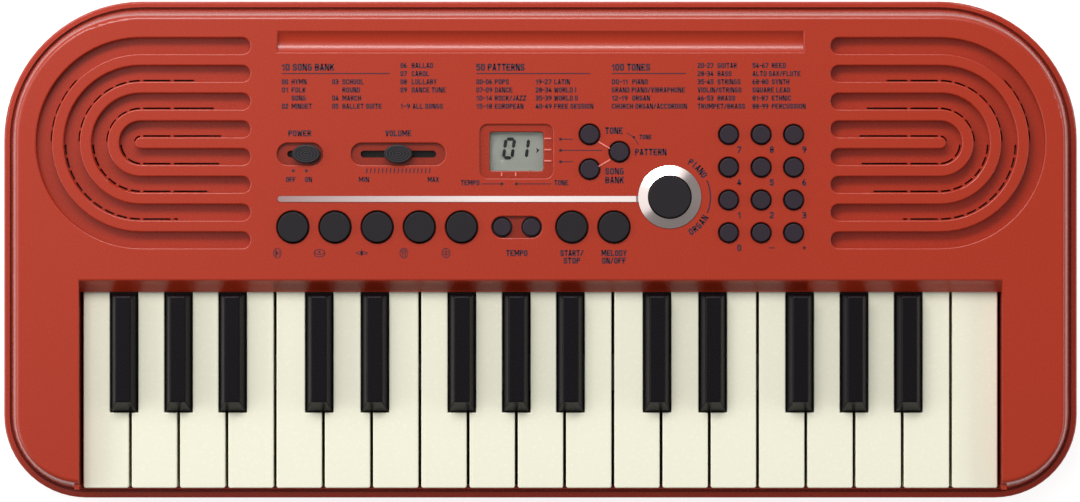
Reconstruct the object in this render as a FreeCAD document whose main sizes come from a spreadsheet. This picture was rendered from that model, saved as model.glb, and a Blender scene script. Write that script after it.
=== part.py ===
"""A compact electronic keyboard with 32 small keys, as separate pieces in one frame.

+X runs to the player's right, +Y away from the player and +Z up. The origin is at the middle of
the outline, on the surface that the rubber feet stand on. All sizes are in millimetres.
"""
import FreeCAD, Part
import math
import os
from types import SimpleNamespace

import Sketcher
from FreeCAD import Placement, Rotation, Vector

DOC = FreeCAD.newDocument("keyboard")

# Every driving dimension, written once. Plan positions are from the middle of the case.
DRIVING = {
    # case outline and its levels
    "case_length": 446.0,
    "case_depth": 206.3,
    "rear_corner": 57.6,
    "front_corner": 34.3,
    "foot_height": 2.0,
    "foot_radius": 7.0,
    "foot_seat": 0.5,
    "foot_x": 165.0,
    "foot_front_y": -80.0,
    "foot_rear_y": 78.0,
    "widest_z": 21.0,
    "rim_z": 24.0,
    "ledge_z": 21.5,
    "ledge_depth": 3.0,
    "ledge_inset": 5.4,
    "rim_width": 2.4,
    "seam_gap": 0.6,
    "wall": 2.4,
    "bottom_inset": 5.0,
    "wall_inset": 3.0,
    "bottom_round": 3.0,
    "rim_round": 0.8,
    "panel_z": 48.0,
    "panel_thick": 2.4,
    "upper_wall": 2.2,
    "upper_lean": 3.9,
    "upper_round": 2.0,
    # key opening in the upper case
    "opening_half": 190.0,
    "opening_wall": 2.0,
    "opening_wall_low": 26.0,
    "opening_rear_y": -12.5,
    "opening_slope": 5.0,
    "opening_lip_z": 41.2,
    "opening_round": 1.0,
    "rail_inner_y": -98.85,
    "rail_z": 26.5,
    # keys
    "key_pitch": 19.92,
    "key_gap": 1.24,
    "key_top_z": 40.0,
    "key_bottom_z": 27.0,
    "key_skin": 1.8,
    "key_wall": 1.5,
    "key_front_y": -98.4,
    "key_rear_y": -9.0,
    "key_round": 0.5,
    "key_corner": 0.9,
    "black_slot": 11.7,
    "black_width": 10.6,
    "black_top_width": 6.4,
    "black_top_z": 47.0,
    "black_bottom_z": 28.0,
    "black_front_y": -66.8,
    "black_top_front_y": -62.7,
    "black_rear_y": -18.3,
    "black_top_rear_y": -19.2,
    "black_round": 0.7,
    "notch_clear": 0.5,
    "f_sharp_shift": -2.55,
    "g_sharp_shift": 0.0,
    "a_sharp_shift": 2.45,
    "c_sharp_shift": -1.65,
    "d_sharp_shift": 1.4,
    "hinge_y": -3.0,
    "hinge_z": 34.0,
    "rod_radius": 1.5,
    "rod_clear": 0.05,
    "lug_radius": 3.2,
    "lug_width": 7.4,
    "actuator_y": -51.0,
    "actuator_thick": 2.4,
    "actuator_z": 26.5,
    # key chassis, contact board and rubber
    "chassis_z": 9.6,
    "chassis_thick": 2.4,
    "chassis_front_y": -95.5,
    "chassis_rear_y": 4.0,
    "bearing_thick": 2.4,
    "bearing_front_y": -8.0,
    "bearing_top_z": 38.4,
    "guide_width": 3.0,
    "guide_depth": 7.0,
    "white_guide_y": -88.0,
    "black_guide_y": -35.0,
    "guide_top_z": 31.0,
    "board_thick": 1.6,
    "contact_board_z": 17.0,
    "contact_board_depth": 18.0,
    "rubber_thick": 1.0,
    "dome_radius": 3.0,
    "dome_top_radius": 2.0,
    "dome_top_z": 24.0,
    "support_thick": 2.0,
    # panel controls
    "button_proud": 1.5,
    "button_travel": 1.0,
    "button_clear": 0.65,
    "flange_gap": 0.3,
    "flange_thick": 0.8,
    "flange_extra": 1.0,
    "button_round": 0.3,
    "recess_round": 0.45,
    "pad_radius": 6.13,
    "pad_row_y": 9.25,
    "pad_first_x": -101.85,
    "pad_pitch": 17.35,
    "start_x": 12.9,
    "tempo_x": -9.75,
    "tempo_half_step": 6.0,
    "tempo_radius": 3.54,
    "tempo_recess_margin": 0.25,
    "tempo_recess_depth": 1.6,
    "tempo_proud": 0.5,
    "number_radius": 3.63,
    "number_x": 77.4,
    "number_y": 6.9,
    "number_step_x": 13.37,
    "number_step_y": 13.47,
    "mode_radius": 3.75,
    "mode_x": 20.2,
    "mode_right_x": 32.45,
    "mode_middle_y": 40.2,
    "mode_step_y": 7.15,
    "large_x": 53.15,
    "large_y": 21.6,
    "large_radius": 8.55,
    "large_proud": 3.0,
    "ring_outer": 12.95,
    "ring_clear": 0.5,
    "ring_outer_proud": 0.4,
    "ring_inner_proud": 1.9,
    "trim_seat": 0.8,
    "trim_line_y": 20.8,
    "trim_line_width": 2.4,
    "trim_line_left": -108.1,
    "trim_line_proud": 0.3,
    "trim_fit": 0.1,
    # slide switches
    "slide_y": 39.3,
    "slide_recess_width": 9.1,
    "slide_recess_depth": 1.6,
    "power_x": -99.0,
    "power_length": 18.7,
    "power_travel": 5.4,
    "volume_x": -58.5,
    "volume_length": 39.0,
    "volume_travel": 26.0,
    "slide_slot_width": 2.9,
    "stem_length": 4.4,
    "stem_width": 2.2,
    "slot_clear": 0.35,
    "knob_length": 11.6,
    "knob_width": 7.6,
    "knob_height": 3.4,
    "stem_low_z": 43.5,
    "switch_body_top_z": 44.9,
    "switch_body_width": 7.0,
    # display
    "display_x": -9.9,
    "display_y": 40.4,
    "display_recess_x": 30.2,
    "display_recess_y": 22.2,
    "display_recess_round": 3.3,
    "display_recess_depth": 1.0,
    "window_x": 22.0,
    "window_y": 16.0,
    "window_round": 1.2,
    "window_rebate": 1.2,
    "window_rebate_height": 0.6,
    "window_low": 0.2,
    "window_fit": 0.1,
    "module_x": 28.0,
    "module_y": 19.6,
    "module_z": 44.6,
    "glass_step": 0.3,
    "glass_margin": 2.0,
    # speakers and their grooves
    "speaker_x": 164.4,
    "speaker_y": 43.9,
    "groove_first": 5.7,
    "groove_pitch": 11.42,
    "groove_width": 6.6,
    "groove_end_x": 119.4,
    "groove_depth": 4.4,
    "groove_round": 0.6,
    "grille_thick": 3.6,
    "grille_margin": 2.5,
    "slot_width": 0.7,
    "slot_inset": 0.5,
    "slot_pitch": 5.6,
    "slot_bridge": 1.3,
    "arm_slot_length": 12.6,
    "slot_reach": 35.7,
    "slot_heart_x": 167.1,
    "slot_heart_y": 43.6,
    "speaker_radius": 33.0,
    "speaker_flange": 2.0,
    "speaker_low_z": 19.0,
    "magnet_radius": 14.0,
    "magnet_height": 9.0,
    # long channel behind the print
    "channel_half": 108.1,
    "channel_front_y": 80.9,
    "channel_rear_y": 89.9,
    "channel_depth": 1.9,
    "channel_round": 0.6,
    # main board
    "main_board_left": -112.0,
    "main_board_right": 116.5,
    "main_board_front": 3.0,
    "main_board_rear": 56.5,
    "board_post_radius": 2.2,
    "board_screw_radius": 0.95,
    "board_hole_clear": 0.25,
    "board_screw_bite": 2.5,
    "board_screw_head": 1.5,
    "mat_thick": 0.8,
    "mat_clear": 0.4,
    # screws that join the two case halves
    "boss_radius": 4.0,
    "boss_joint_z": 24.0,
    "screw_radius": 1.25,
    "screw_head_radius": 2.7,
    "screw_head_height": 2.0,
    "screw_head_z": 12.2,
    "screw_top_z": 33.0,
    "screw_hole_clear": 0.35,
    "screw_pilot_clear": 0.05,
    # battery compartment and cover
    "cell_room_half": 54.0,
    "cell_room_front": 44.0,
    "cell_room_rear": 94.0,
    "cell_room_top": 19.5,
    "cell_room_wall": 2.6,
    "cell_room_rear_wall": 1.3,
    "cover_clear": 0.3,
    "cover_lip_z": 12.0,
    "tongue_reach": 1.4,
    "tongue_thick": 1.0,
    "tongue_length": 8.0,
    "tongue_front_y": 48.0,
    "tongue_step_y": 22.0,
    "cell_row_pitch": 15.0,
    "contact_size": 9.0,
    "contact_thick": 0.5,
    "contact_spring_height": 3.0,
    # rear jacks
    "jack_z": 15.0,
    "jack_front_y": 84.0,
    "jack_rear_y": 97.3,
    "jack_nose_y": 100.5,
    "jack_hole_clear": 0.4,
    "jack_height": 11.0,
    "power_jack_x": -110.0,
    "power_jack_width": 12.0,
    "power_nose_radius": 4.6,
    "power_bore_radius": 2.8,
    "power_bore_depth": 9.5,
    "power_pin_radius": 0.65,
    "power_pin_short": 1.5,
    "phones_jack_x": -88.0,
    "phones_jack_width": 10.0,
    "phones_nose_radius": 3.8,
    "phones_bore_radius": 1.8,
    "phones_bore_depth": 15.0,
}


class Dim:
    """A length together with the sheet formula that gives it."""

    def __init__(self, value, text):
        self.value = float(value)
        self.text = text

    def __add__(self, other):
        return joined(self, "+", other)

    def __radd__(self, other):
        return joined(other, "+", self)

    def __sub__(self, other):
        return joined(self, "-", other)

    def __rsub__(self, other):
        return joined(other, "-", self)

    def __mul__(self, other):
        return joined(self, "*", other)

    def __rmul__(self, other):
        return joined(other, "*", self)

    def __truediv__(self, other):
        return joined(self, "/", other)

    def __neg__(self):
        return joined(-1, "*", self)


WORK_OUT = {
    "+": lambda a, b: a + b,
    "-": lambda a, b: a - b,
    "*": lambda a, b: a * b,
    "/": lambda a, b: a / b,
}


def as_dim(number):
    """A plain number as a Dim, which is left as it is."""
    return number if isinstance(number, Dim) else Dim(number, f"({float(number)})")


def joined(left, sign, right):
    """Two lengths joined by an arithmetic sign, in value and in formula."""
    left = as_dim(left)
    right = as_dim(right)
    return Dim(WORK_OUT[sign](left.value, right.value), f"({left.text} {sign} {right.text})")


def make_sheet():
    """The spreadsheet of driving dimensions, and each of them as a Dim."""
    sheet = DOC.addObject("Spreadsheet::Sheet", "sizes")
    named = {}
    for row, (alias, value) in enumerate(DRIVING.items(), start=1):
        sheet.set(f"A{row}", alias)
        sheet.set(f"B{row}", str(value))
        sheet.setAlias(f"B{row}", alias)
        named[alias] = Dim(value, f"sizes.{alias}")
    DOC.recompute()
    return SimpleNamespace(**named)


size = make_sheet()

# Levels and edges that several pieces share.
FLOOR_TOP = size.foot_height + size.wall
PANEL_UNDER = size.panel_z - size.panel_thick
UPPER_INSET = size.rim_width + size.seam_gap
FLANGE_TOP = PANEL_UNDER - size.flange_gap
FLANGE_LOW = FLANGE_TOP - size.flange_thick
BOARD_TOP = FLANGE_LOW - size.button_travel - size.mat_clear - size.mat_thick
BOARD_LOW = BOARD_TOP - size.board_thick
GRILLE_UNDER = PANEL_UNDER - size.grille_thick
SLIDE_FLOOR = size.panel_z - size.slide_recess_depth
CHASSIS_TOP = size.chassis_z + size.chassis_thick
CONTACT_TOP = size.contact_board_z + size.board_thick
KEYS_LEFT = size.key_pitch * (-9.5)

WHITE_NOTES = ["f3", "g3", "a3", "b3", "c4", "d4", "e4", "f4", "g4", "a4", "b4", "c5", "d5", "e5",
               "f5", "g5", "a5", "b5", "c6"]
SHARP_SHIFT = {
    "f": size.f_sharp_shift,
    "g": size.g_sharp_shift,
    "a": size.a_sharp_shift,
    "c": size.c_sharp_shift,
    "d": size.d_sharp_shift,
}
SCREW_PLACES = [(202.5, -75.0), (205.0, 5.0), (185.0, 85.0), (70.0, 92.0)]
BOARD_SCREW_PLACES = [(-108.5, 53.0), (-40.0, 53.0), (66.0, 53.0), (66.0, 6.5), (-92.0, 26.0),
                      (-24.0, 23.0), (113.5, 27.0)]


def bind(thing, name, dim):
    """Binds a property to the sheet."""
    thing.setExpression(name, as_dim(dim).text)


def new_body(label):
    """An empty body that will be one moulded, cut or turned piece."""
    body = DOC.addObject("PartDesign::Body", label)
    body.Label = label
    return body


def sketch_on(body, role, offset):
    """A sketch on one of the body's own planes, moved along its normal."""
    sketch = body.newObject("Sketcher::SketchObject", "sketch")
    plane = [feature for feature in body.Origin.OriginFeatures if feature.Role == role][0]
    sketch.AttachmentSupport = (plane, [""])
    sketch.MapMode = "FlatFace"
    bind(sketch, "AttachmentOffset.Base.z", offset)
    return sketch


def constrain(sketch, rules):
    """Adds rules to a sketch; a rule that ends in a Dim is bound to the sheet."""
    plain = []
    for rule in rules:
        last = rule[-1].value if isinstance(rule[-1], Dim) else rule[-1]
        plain.append(Sketcher.Constraint(*rule[:-1], last))
    first = sketch.ConstraintCount
    sketch.addConstraint(plain)
    for index, rule in enumerate(rules, start=first):
        if isinstance(rule[-1], Dim):
            sketch.renameConstraint(index, f"length_{index}")
            sketch.setExpression(f"Constraints.length_{index}", rule[-1].text)


def place_rules(geometry, vertex, x, y):
    """The two rules that hold a point of a sketch at x, y."""
    return [
        ("DistanceX", -1, 1, geometry, vertex, as_dim(x)),
        ("DistanceY", -1, 1, geometry, vertex, as_dim(y)),
    ]


def trace(sketch, start, *steps):
    """Draws a closed outline; a step is a corner (x, y) or an arc to it (x, y, centre x, centre y, turn)."""
    steps = list(steps)
    corners = [start] + [step[:2] for step in steps]
    rules = []
    ends = []
    for (x, y), step in zip(corners, steps):
        begin = Vector(as_dim(x).value, as_dim(y).value, 0)
        end = Vector(as_dim(step[0]).value, as_dim(step[1]).value, 0)
        if len(step) == 2:
            index = sketch.addGeometry(Part.LineSegment(begin, end))
            first, last = 1, 2
        else:
            centre = Vector(as_dim(step[2]).value, as_dim(step[3]).value, 0)
            circle = Part.Circle(centre, Vector(0, 0, 1), (begin - centre).Length)
            first, last = (1, 2) if step[4] > 0 else (2, 1)
            low, high = (begin, end) if step[4] > 0 else (end, begin)
            arc = Part.ArcOfCircle(circle, circle.parameter(low), circle.parameter(high))
            index = sketch.addGeometry(arc)
            level = abs(begin.y - end.y) < 1e-6
            rules.append(place_rules(index, 3, step[2], step[3])[1 if level else 0])
        rules += place_rules(index, first, x, y)
        ends.append((index, first, last))
    for (index, _, last), (following, first, _) in zip(ends, ends[1:] + ends[:1]):
        rules.append(("Coincident", index, last, following, first))
    constrain(sketch, rules)


def draw_circle(sketch, x, y, radius):
    """Draws a circle."""
    centre = Vector(as_dim(x).value, as_dim(y).value, 0)
    index = sketch.addGeometry(Part.Circle(centre, Vector(0, 0, 1), as_dim(radius).value))
    constrain(sketch, place_rules(index, 3, x, y) + [("Radius", index, as_dim(radius))])


def draw_rectangle(sketch, left, right, front, rear):
    """Draws a rectangle by its four sides."""
    trace(sketch, (left, front), (right, front), (right, rear), (left, rear), (left, front))


def draw_rounded(sketch, left, right, front, rear, radius):
    """Draws a rectangle with round corners."""
    trace(
        sketch,
        (left + radius, front),
        (right - radius, front),
        (right, front + radius, right - radius, front + radius, 1),
        (right, rear - radius),
        (right - radius, rear, right - radius, rear - radius, 1),
        (left + radius, rear),
        (left, rear - radius, left + radius, rear - radius, 1),
        (left, front + radius),
        (left + radius, front, left + radius, front + radius, 1),
    )


def draw_stadium(sketch, x, y, length, width):
    """Draws a slot with round ends, long in X."""
    half = width / 2
    left = x - length / 2 + half
    right = x + length / 2 - half
    trace(
        sketch,
        (left, y - half),
        (right, y - half),
        (right, y + half, right, y, 1),
        (left, y + half),
        (left, y - half, left, y, 1),
    )


def draw_case(sketch, inset):
    """Draws the outline of the case, moved in by the inset."""
    side = size.case_length / 2 - inset
    end = size.case_depth / 2 - inset
    front = size.front_corner - inset
    rear = size.rear_corner - inset
    trace(
        sketch,
        (front - side, -end),
        (side - front, -end),
        (side, front - end, side - front, front - end, 1),
        (side, end - rear),
        (side - rear, end, side - rear, end - rear, 1),
        (rear - side, end),
        (-side, end - rear, rear - side, end - rear, 1),
        (-side, front - end),
        (front - side, -end, front - side, front - end, 1),
    )


def pad(body, low, high, draw, *args, role="XY_Plane"):
    """Adds the drawn outline as material between two levels."""
    sketch = sketch_on(body, role, low)
    draw(sketch, *args)
    feature = body.newObject("PartDesign::Pad", "pad")
    feature.Profile = sketch
    bind(feature, "Length", high - low)
    return feature


def pocket(body, low, high, draw, *args, role="XY_Plane"):
    """Cuts the drawn outline out between two levels."""
    sketch = sketch_on(body, role, high)
    draw(sketch, *args)
    feature = body.newObject("PartDesign::Pocket", "pocket")
    feature.Profile = sketch
    bind(feature, "Length", high - low)
    return feature


def pocket_up(body, low, high, draw, *args):
    """Cuts the drawn outline out from below."""
    sketch = sketch_on(body, "XY_Plane", low)
    draw(sketch, *args)
    feature = body.newObject("PartDesign::Pocket", "pocket")
    feature.Profile = sketch
    feature.Reversed = True
    bind(feature, "Length", high - low)
    return feature


def lean(feature, outward, height):
    """Leans the walls of a pad or pocket outward over a height; a negative length leans them in."""
    feature.setExpression("TaperAngle", f"atan({(outward / height).text})")


def wedge(body, kind, turn, corner, base, height, top):
    """Adds or cuts a solid that narrows from a rectangle to a smaller one or to a line."""
    feature = body.newObject(f"PartDesign::{kind}Wedge", "wedge")
    plane = [item for item in body.Origin.OriginFeatures if item.Role == "XY_Plane"][0]
    feature.AttachmentSupport = (plane, [""])
    feature.MapMode = "FlatFace"
    feature.AttachmentOffset = Placement(Vector(), Rotation(Vector(1, 0, 0), turn))
    for name, dim in zip("xyz", corner):
        bind(feature, f"AttachmentOffset.Base.{name}", dim)
    names = ("Xmin", "Xmax", "Zmin", "Zmax", "Ymin", "Ymax", "X2min", "X2max", "Z2min", "Z2max")
    for name, dim in zip(names, (0, base[0], 0, base[1], 0, height) + top):
        bind(feature, name, dim)
    return feature


def round_edges(body, radius, wanted):
    """Rounds the edges of the body for which wanted(edge) is true."""
    DOC.recompute()
    base = body.Tip
    names = [f"Edge{i}" for i, edge in enumerate(base.Shape.Edges, start=1) if wanted(edge)]
    if not names:
        raise ValueError(f"{body.Label}: no edge to round")
    feature = body.newObject("PartDesign::Fillet", "fillet")
    feature.Base = (base, names)
    bind(feature, "Radius", radius)
    return feature


def lies_at(edge, level, axis="z"):
    """Whether a whole edge lies at one level."""
    low = getattr(edge.BoundBox, f"{axis.upper()}Min")
    high = getattr(edge.BoundBox, f"{axis.upper()}Max")
    near = 1e-4
    return abs(low - as_dim(level).value) < near and abs(high - as_dim(level).value) < near


def cylinder(radius, low, high, x, y, axis="z"):
    """A cylinder between two levels of an axis; x and y are the other two places, in order."""
    made = DOC.addObject("Part::Cylinder", "cylinder")
    bind(made, "Radius", radius)
    bind(made, "Height", high - low)
    places = {"x": ("x", "y", "z"), "y": ("y", "x", "z"), "z": ("z", "x", "y")}[axis]
    turn = {
        "x": Rotation(Vector(0, 1, 0), 90),
        "y": Rotation(Vector(1, 0, 0), -90),
        "z": Rotation(),
    }[axis]
    made.Placement = Placement(Vector(), turn)
    for name, dim in zip(places, (low, x, y)):
        bind(made, f"Placement.Base.{name}", dim)
    return made


def box(left, right, front, rear, low, high):
    """A box by its six sides."""
    made = DOC.addObject("Part::Box", "box")
    bind(made, "Length", right - left)
    bind(made, "Width", rear - front)
    bind(made, "Height", high - low)
    for name, dim in (("x", left), ("y", front), ("z", low)):
        bind(made, f"Placement.Base.{name}", dim)
    return made


def fuse(label, pieces):
    """Several solids as one."""
    made = DOC.addObject("Part::MultiFuse", label)
    made.Shapes = pieces
    made.Label = label
    return made


def cut(label, base, tool):
    """One solid with another taken out of it."""
    made = DOC.addObject("Part::Cut", label)
    made.Base = base
    made.Tool = tool
    made.Label = label
    return made


def group(label, pieces):
    """Several separate solids of one kind, in one node."""
    made = DOC.addObject("Part::Compound", label)
    made.Links = pieces
    made.Label = label
    return made


def mirrored_places(places):
    """Places given for the right side, and the same on the left."""
    return places + [(-x, y) for x, y in places]


# ---------------------------------------------------------------- case


def shape_lower_shell(body):
    """The open tray of the lower case, before its cuts and ribs."""
    walls = pad(body, size.foot_height, size.widest_z, draw_case, size.bottom_inset)
    lean(walls, size.bottom_inset, size.widest_z - size.foot_height)
    round_edges(body, size.bottom_round, lambda edge: lies_at(edge, size.foot_height))
    pad(body, size.widest_z, size.rim_z, draw_case, as_dim(0))
    round_edges(body, size.rim_round, lambda edge: lies_at(edge, size.rim_z))
    under_ledge = size.ledge_z - size.ledge_depth
    inside = pocket(body, FLOOR_TOP, under_ledge, draw_case, size.wall_inset)
    lean(inside, -size.bottom_inset * 0.8, under_ledge - FLOOR_TOP)
    pocket(body, under_ledge, size.ledge_z, draw_case, size.ledge_inset)
    pocket(body, size.ledge_z, size.rim_z, draw_case, size.rim_width)


def make_lower_case():
    """The tray with its bosses, battery room, ribs and openings."""
    body = new_body("lower_case")
    shape_lower_shell(body)
    room = size.cell_room_half
    wall = size.cell_room_wall
    rear_out = size.cell_room_rear + size.cell_room_rear_wall
    beyond = size.case_depth / 2 + 5
    pad(body, FLOOR_TOP - 0.4, size.cell_room_top + size.cell_room_rear_wall + 0.5,
        draw_rectangle, -room - wall, room + wall, size.cell_room_front - wall, rear_out)
    pocket(body, as_dim(0), size.cell_room_top,
           draw_rectangle, -room, room, size.cell_room_front, size.cell_room_rear)
    over_cover = FLOOR_TOP + size.cover_clear
    pocket(body, as_dim(0), over_cover,
           draw_rectangle, -room, room, size.cell_room_front, beyond)
    pocket(body, as_dim(0), size.cover_lip_z + size.cover_clear,
           draw_rectangle, -room, room, rear_out + size.cover_clear, beyond)
    groove = room + size.tongue_reach
    over_tongue = over_cover + size.tongue_thick + 2 * size.cover_clear
    for left, right in ((room - 0.5, groove), (-groove, 0.5 - room)):
        pocket(body, over_cover, over_tongue,
               draw_rectangle, left, right, size.cell_room_front, rear_out)
    for y in (size.white_guide_y, size.actuator_y, size.hinge_y):
        half = size.support_thick / 2
        ends = size.key_pitch * 9
        pad(body, FLOOR_TOP - 0.4, size.chassis_z, draw_rectangle, -ends, ends, y - half, y + half)
    for x, width in ((size.power_jack_x, size.power_jack_width),
                     (size.phones_jack_x, size.phones_jack_width)):
        low = size.jack_z - size.jack_height / 2
        pad(body, FLOOR_TOP - 0.4, low, draw_rectangle, x - width / 2, x + width / 2,
            size.jack_front_y + 2, size.jack_rear_y - 4)
    places = mirrored_places(SCREW_PLACES)
    pad(body, FLOOR_TOP - 0.4, size.boss_joint_z, draw_circles, places, size.boss_radius)
    head_top = size.screw_head_z + size.screw_head_height
    pocket(body, as_dim(0), head_top, draw_circles, places,
           size.screw_head_radius + size.cover_clear)
    pocket(body, as_dim(0), size.boss_joint_z, draw_circles, places,
           size.screw_radius + size.screw_hole_clear)
    feet = foot_places()
    pocket(body, as_dim(0), size.foot_height + size.foot_seat, draw_circles, feet,
           size.foot_radius + size.trim_fit)
    for x, radius in ((size.power_jack_x, size.power_nose_radius),
                      (size.phones_jack_x, size.phones_nose_radius)):
        sketch = sketch_on(body, "XZ_Plane", 4 - size.jack_rear_y)
        draw_circle(sketch, x, size.jack_z, radius + size.jack_hole_clear)
        hole = body.newObject("PartDesign::Pocket", "jack_hole")
        hole.Profile = sketch
        bind(hole, "Length", beyond - size.jack_rear_y + 4)
    return body


def draw_circles(sketch, places, radius):
    """Draws a circle of one radius at each place."""
    for x, y in places:
        draw_circle(sketch, x, y, radius)


def foot_places():
    """Where the four feet stand."""
    return [(side * size.foot_x, y) for side in (-1, 1)
            for y in (size.foot_front_y, size.foot_rear_y)]


def make_rubber_feet():
    """Four round rubber feet, seated in the lower case."""
    feet = [cylinder(size.foot_radius, as_dim(0), size.foot_height + size.foot_seat, x, y)
            for x, y in foot_places()]
    return group("rubber_feet", feet)


def make_battery_cover():
    """The cover that slides off rearwards: the part of the tray that it closes, with four tongues."""
    tray = new_body("cover_blank")
    shape_lower_shell(tray)
    half = size.cell_room_half - size.cover_clear
    region = box(-half, half, size.cell_room_front + size.cover_clear, size.case_depth / 2 + 5,
                 as_dim(0), size.cover_lip_z)
    plate = DOC.addObject("Part::Common", "cover_plate")
    plate.Base = tray
    plate.Tool = region
    pieces = [plate]
    low = FLOOR_TOP + 2 * size.cover_clear
    high = low + size.tongue_thick
    for side in (-1, 1):
        for step in (0, 1):
            front = size.tongue_front_y + step * size.tongue_step_y
            rear = front + size.tongue_length
            inner, edge, tip = half - 2, half, half + size.tongue_reach
            near, far = (inner, edge) if side > 0 else (-edge, -inner)
            pieces.append(box(near, far, front, rear, FLOOR_TOP - 0.4, high))
            near, far = (inner, tip) if side > 0 else (-tip, -inner)
            pieces.append(box(near, far, front, rear, low, high))
    return fuse("battery_cover", pieces)


def groove_radii():
    """The middle radius of each of the four nested grooves."""
    return [size.groove_first + size.groove_pitch * step for step in range(4)]


def draw_groove(sketch, side, radius):
    """Draws one U-shaped groove about a speaker, open towards the middle of the case."""
    half = size.groove_width / 2
    x = side * size.speaker_x
    y = size.speaker_y
    end = side * (size.groove_end_x + half)
    outer = radius + half
    inner = radius - half
    trace(
        sketch,
        (end, y - outer),
        (x, y - outer),
        (x, y + outer, x, y, side),
        (end, y + outer),
        (end, y + inner, end, y + radius, side),
        (x, y + inner),
        (x, y - inner, x, y, -side),
        (end, y - inner),
        (end, y - outer, end, y - radius, side),
    )


def draw_grille(sketch, side):
    """Draws the thicker patch of panel that carries the grooves of one side."""
    radius = groove_radii()[-1] + size.groove_width / 2 + size.grille_margin
    x = side * size.speaker_x
    y = size.speaker_y
    end = side * (size.groove_end_x - size.grille_margin)
    trace(
        sketch,
        (end, y - radius),
        (x, y - radius),
        (x, y + radius, x, y, side),
        (end, y + radius),
        (end, y - radius),
    )


def all_buttons():
    """Every push button of the panel: its place and its cap's radius."""
    caps = [(x, size.pad_row_y, size.pad_radius) for x in pad_row()]
    caps += [(x, size.pad_row_y, size.pad_radius) for x in start_pair()]
    caps += [(x, size.pad_row_y, size.tempo_radius) for x in tempo_pair()]
    caps += [(x, y, size.number_radius) for x, y in number_places()]
    caps += [(x, y, size.mode_radius) for x, y in mode_places()]
    return caps


def pad_row():
    """X of the five drum pads."""
    return [size.pad_first_x + size.pad_pitch * step for step in range(5)]


def start_pair():
    """X of the start button and the melody button."""
    return [size.start_x, size.start_x + size.pad_pitch]


def tempo_pair():
    """X of the two tempo buttons."""
    return [size.tempo_x - size.tempo_half_step, size.tempo_x + size.tempo_half_step]


def number_places():
    """The places of the twelve number buttons."""
    return [(size.number_x + size.number_step_x * column, size.number_y + size.number_step_y * row)
            for row in range(4) for column in range(3)]


def mode_places():
    """The places of the three mode buttons."""
    return [
        (size.mode_x, size.mode_middle_y + size.mode_step_y),
        (size.mode_right_x, size.mode_middle_y),
        (size.mode_x, size.mode_middle_y - size.mode_step_y),
    ]


def draw_button_holes(sketch):
    """Draws the hole round each cap."""
    for x, y, radius in all_buttons():
        draw_circle(sketch, x, y, radius + size.button_clear)


def draw_opening_wall(sketch):
    """Draws the section of the sloped wall behind the keys."""
    lip_y = size.opening_rear_y - size.opening_slope
    trace(
        sketch,
        (lip_y, size.opening_lip_z),
        (lip_y + size.opening_wall, size.opening_lip_z),
        (size.opening_rear_y + size.opening_wall, PANEL_UNDER + 0.4),
        (size.opening_rear_y - 1, PANEL_UNDER + 0.4),
        (lip_y, size.opening_lip_z),
    )


def draw_opening_section(sketch):
    """Draws the section of the key opening, with the low rail in front and the slope behind."""
    outside = -size.case_depth / 2 - 5
    above = size.panel_z + 5
    below = size.ledge_z - 1
    lip_y = size.opening_rear_y - size.opening_slope
    trace(
        sketch,
        (outside, size.rail_z),
        (size.rail_inner_y, size.rail_z),
        (size.rail_inner_y, below),
        (lip_y, below),
        (lip_y, size.opening_lip_z),
        (size.opening_rear_y, size.panel_z),
        (size.opening_rear_y, above),
        (outside, above),
        (outside, size.rail_z),
    )


def across(body, kind, half, draw):
    """Adds or cuts a section of the YZ plane, the same way to both sides of the middle."""
    sketch = sketch_on(body, "YZ_Plane", as_dim(0))
    draw(sketch)
    feature = body.newObject(f"PartDesign::{kind}", "across")
    feature.Profile = sketch
    feature.SideType = "Symmetric"
    bind(feature, "Length", 2 * half)
    return feature


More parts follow.
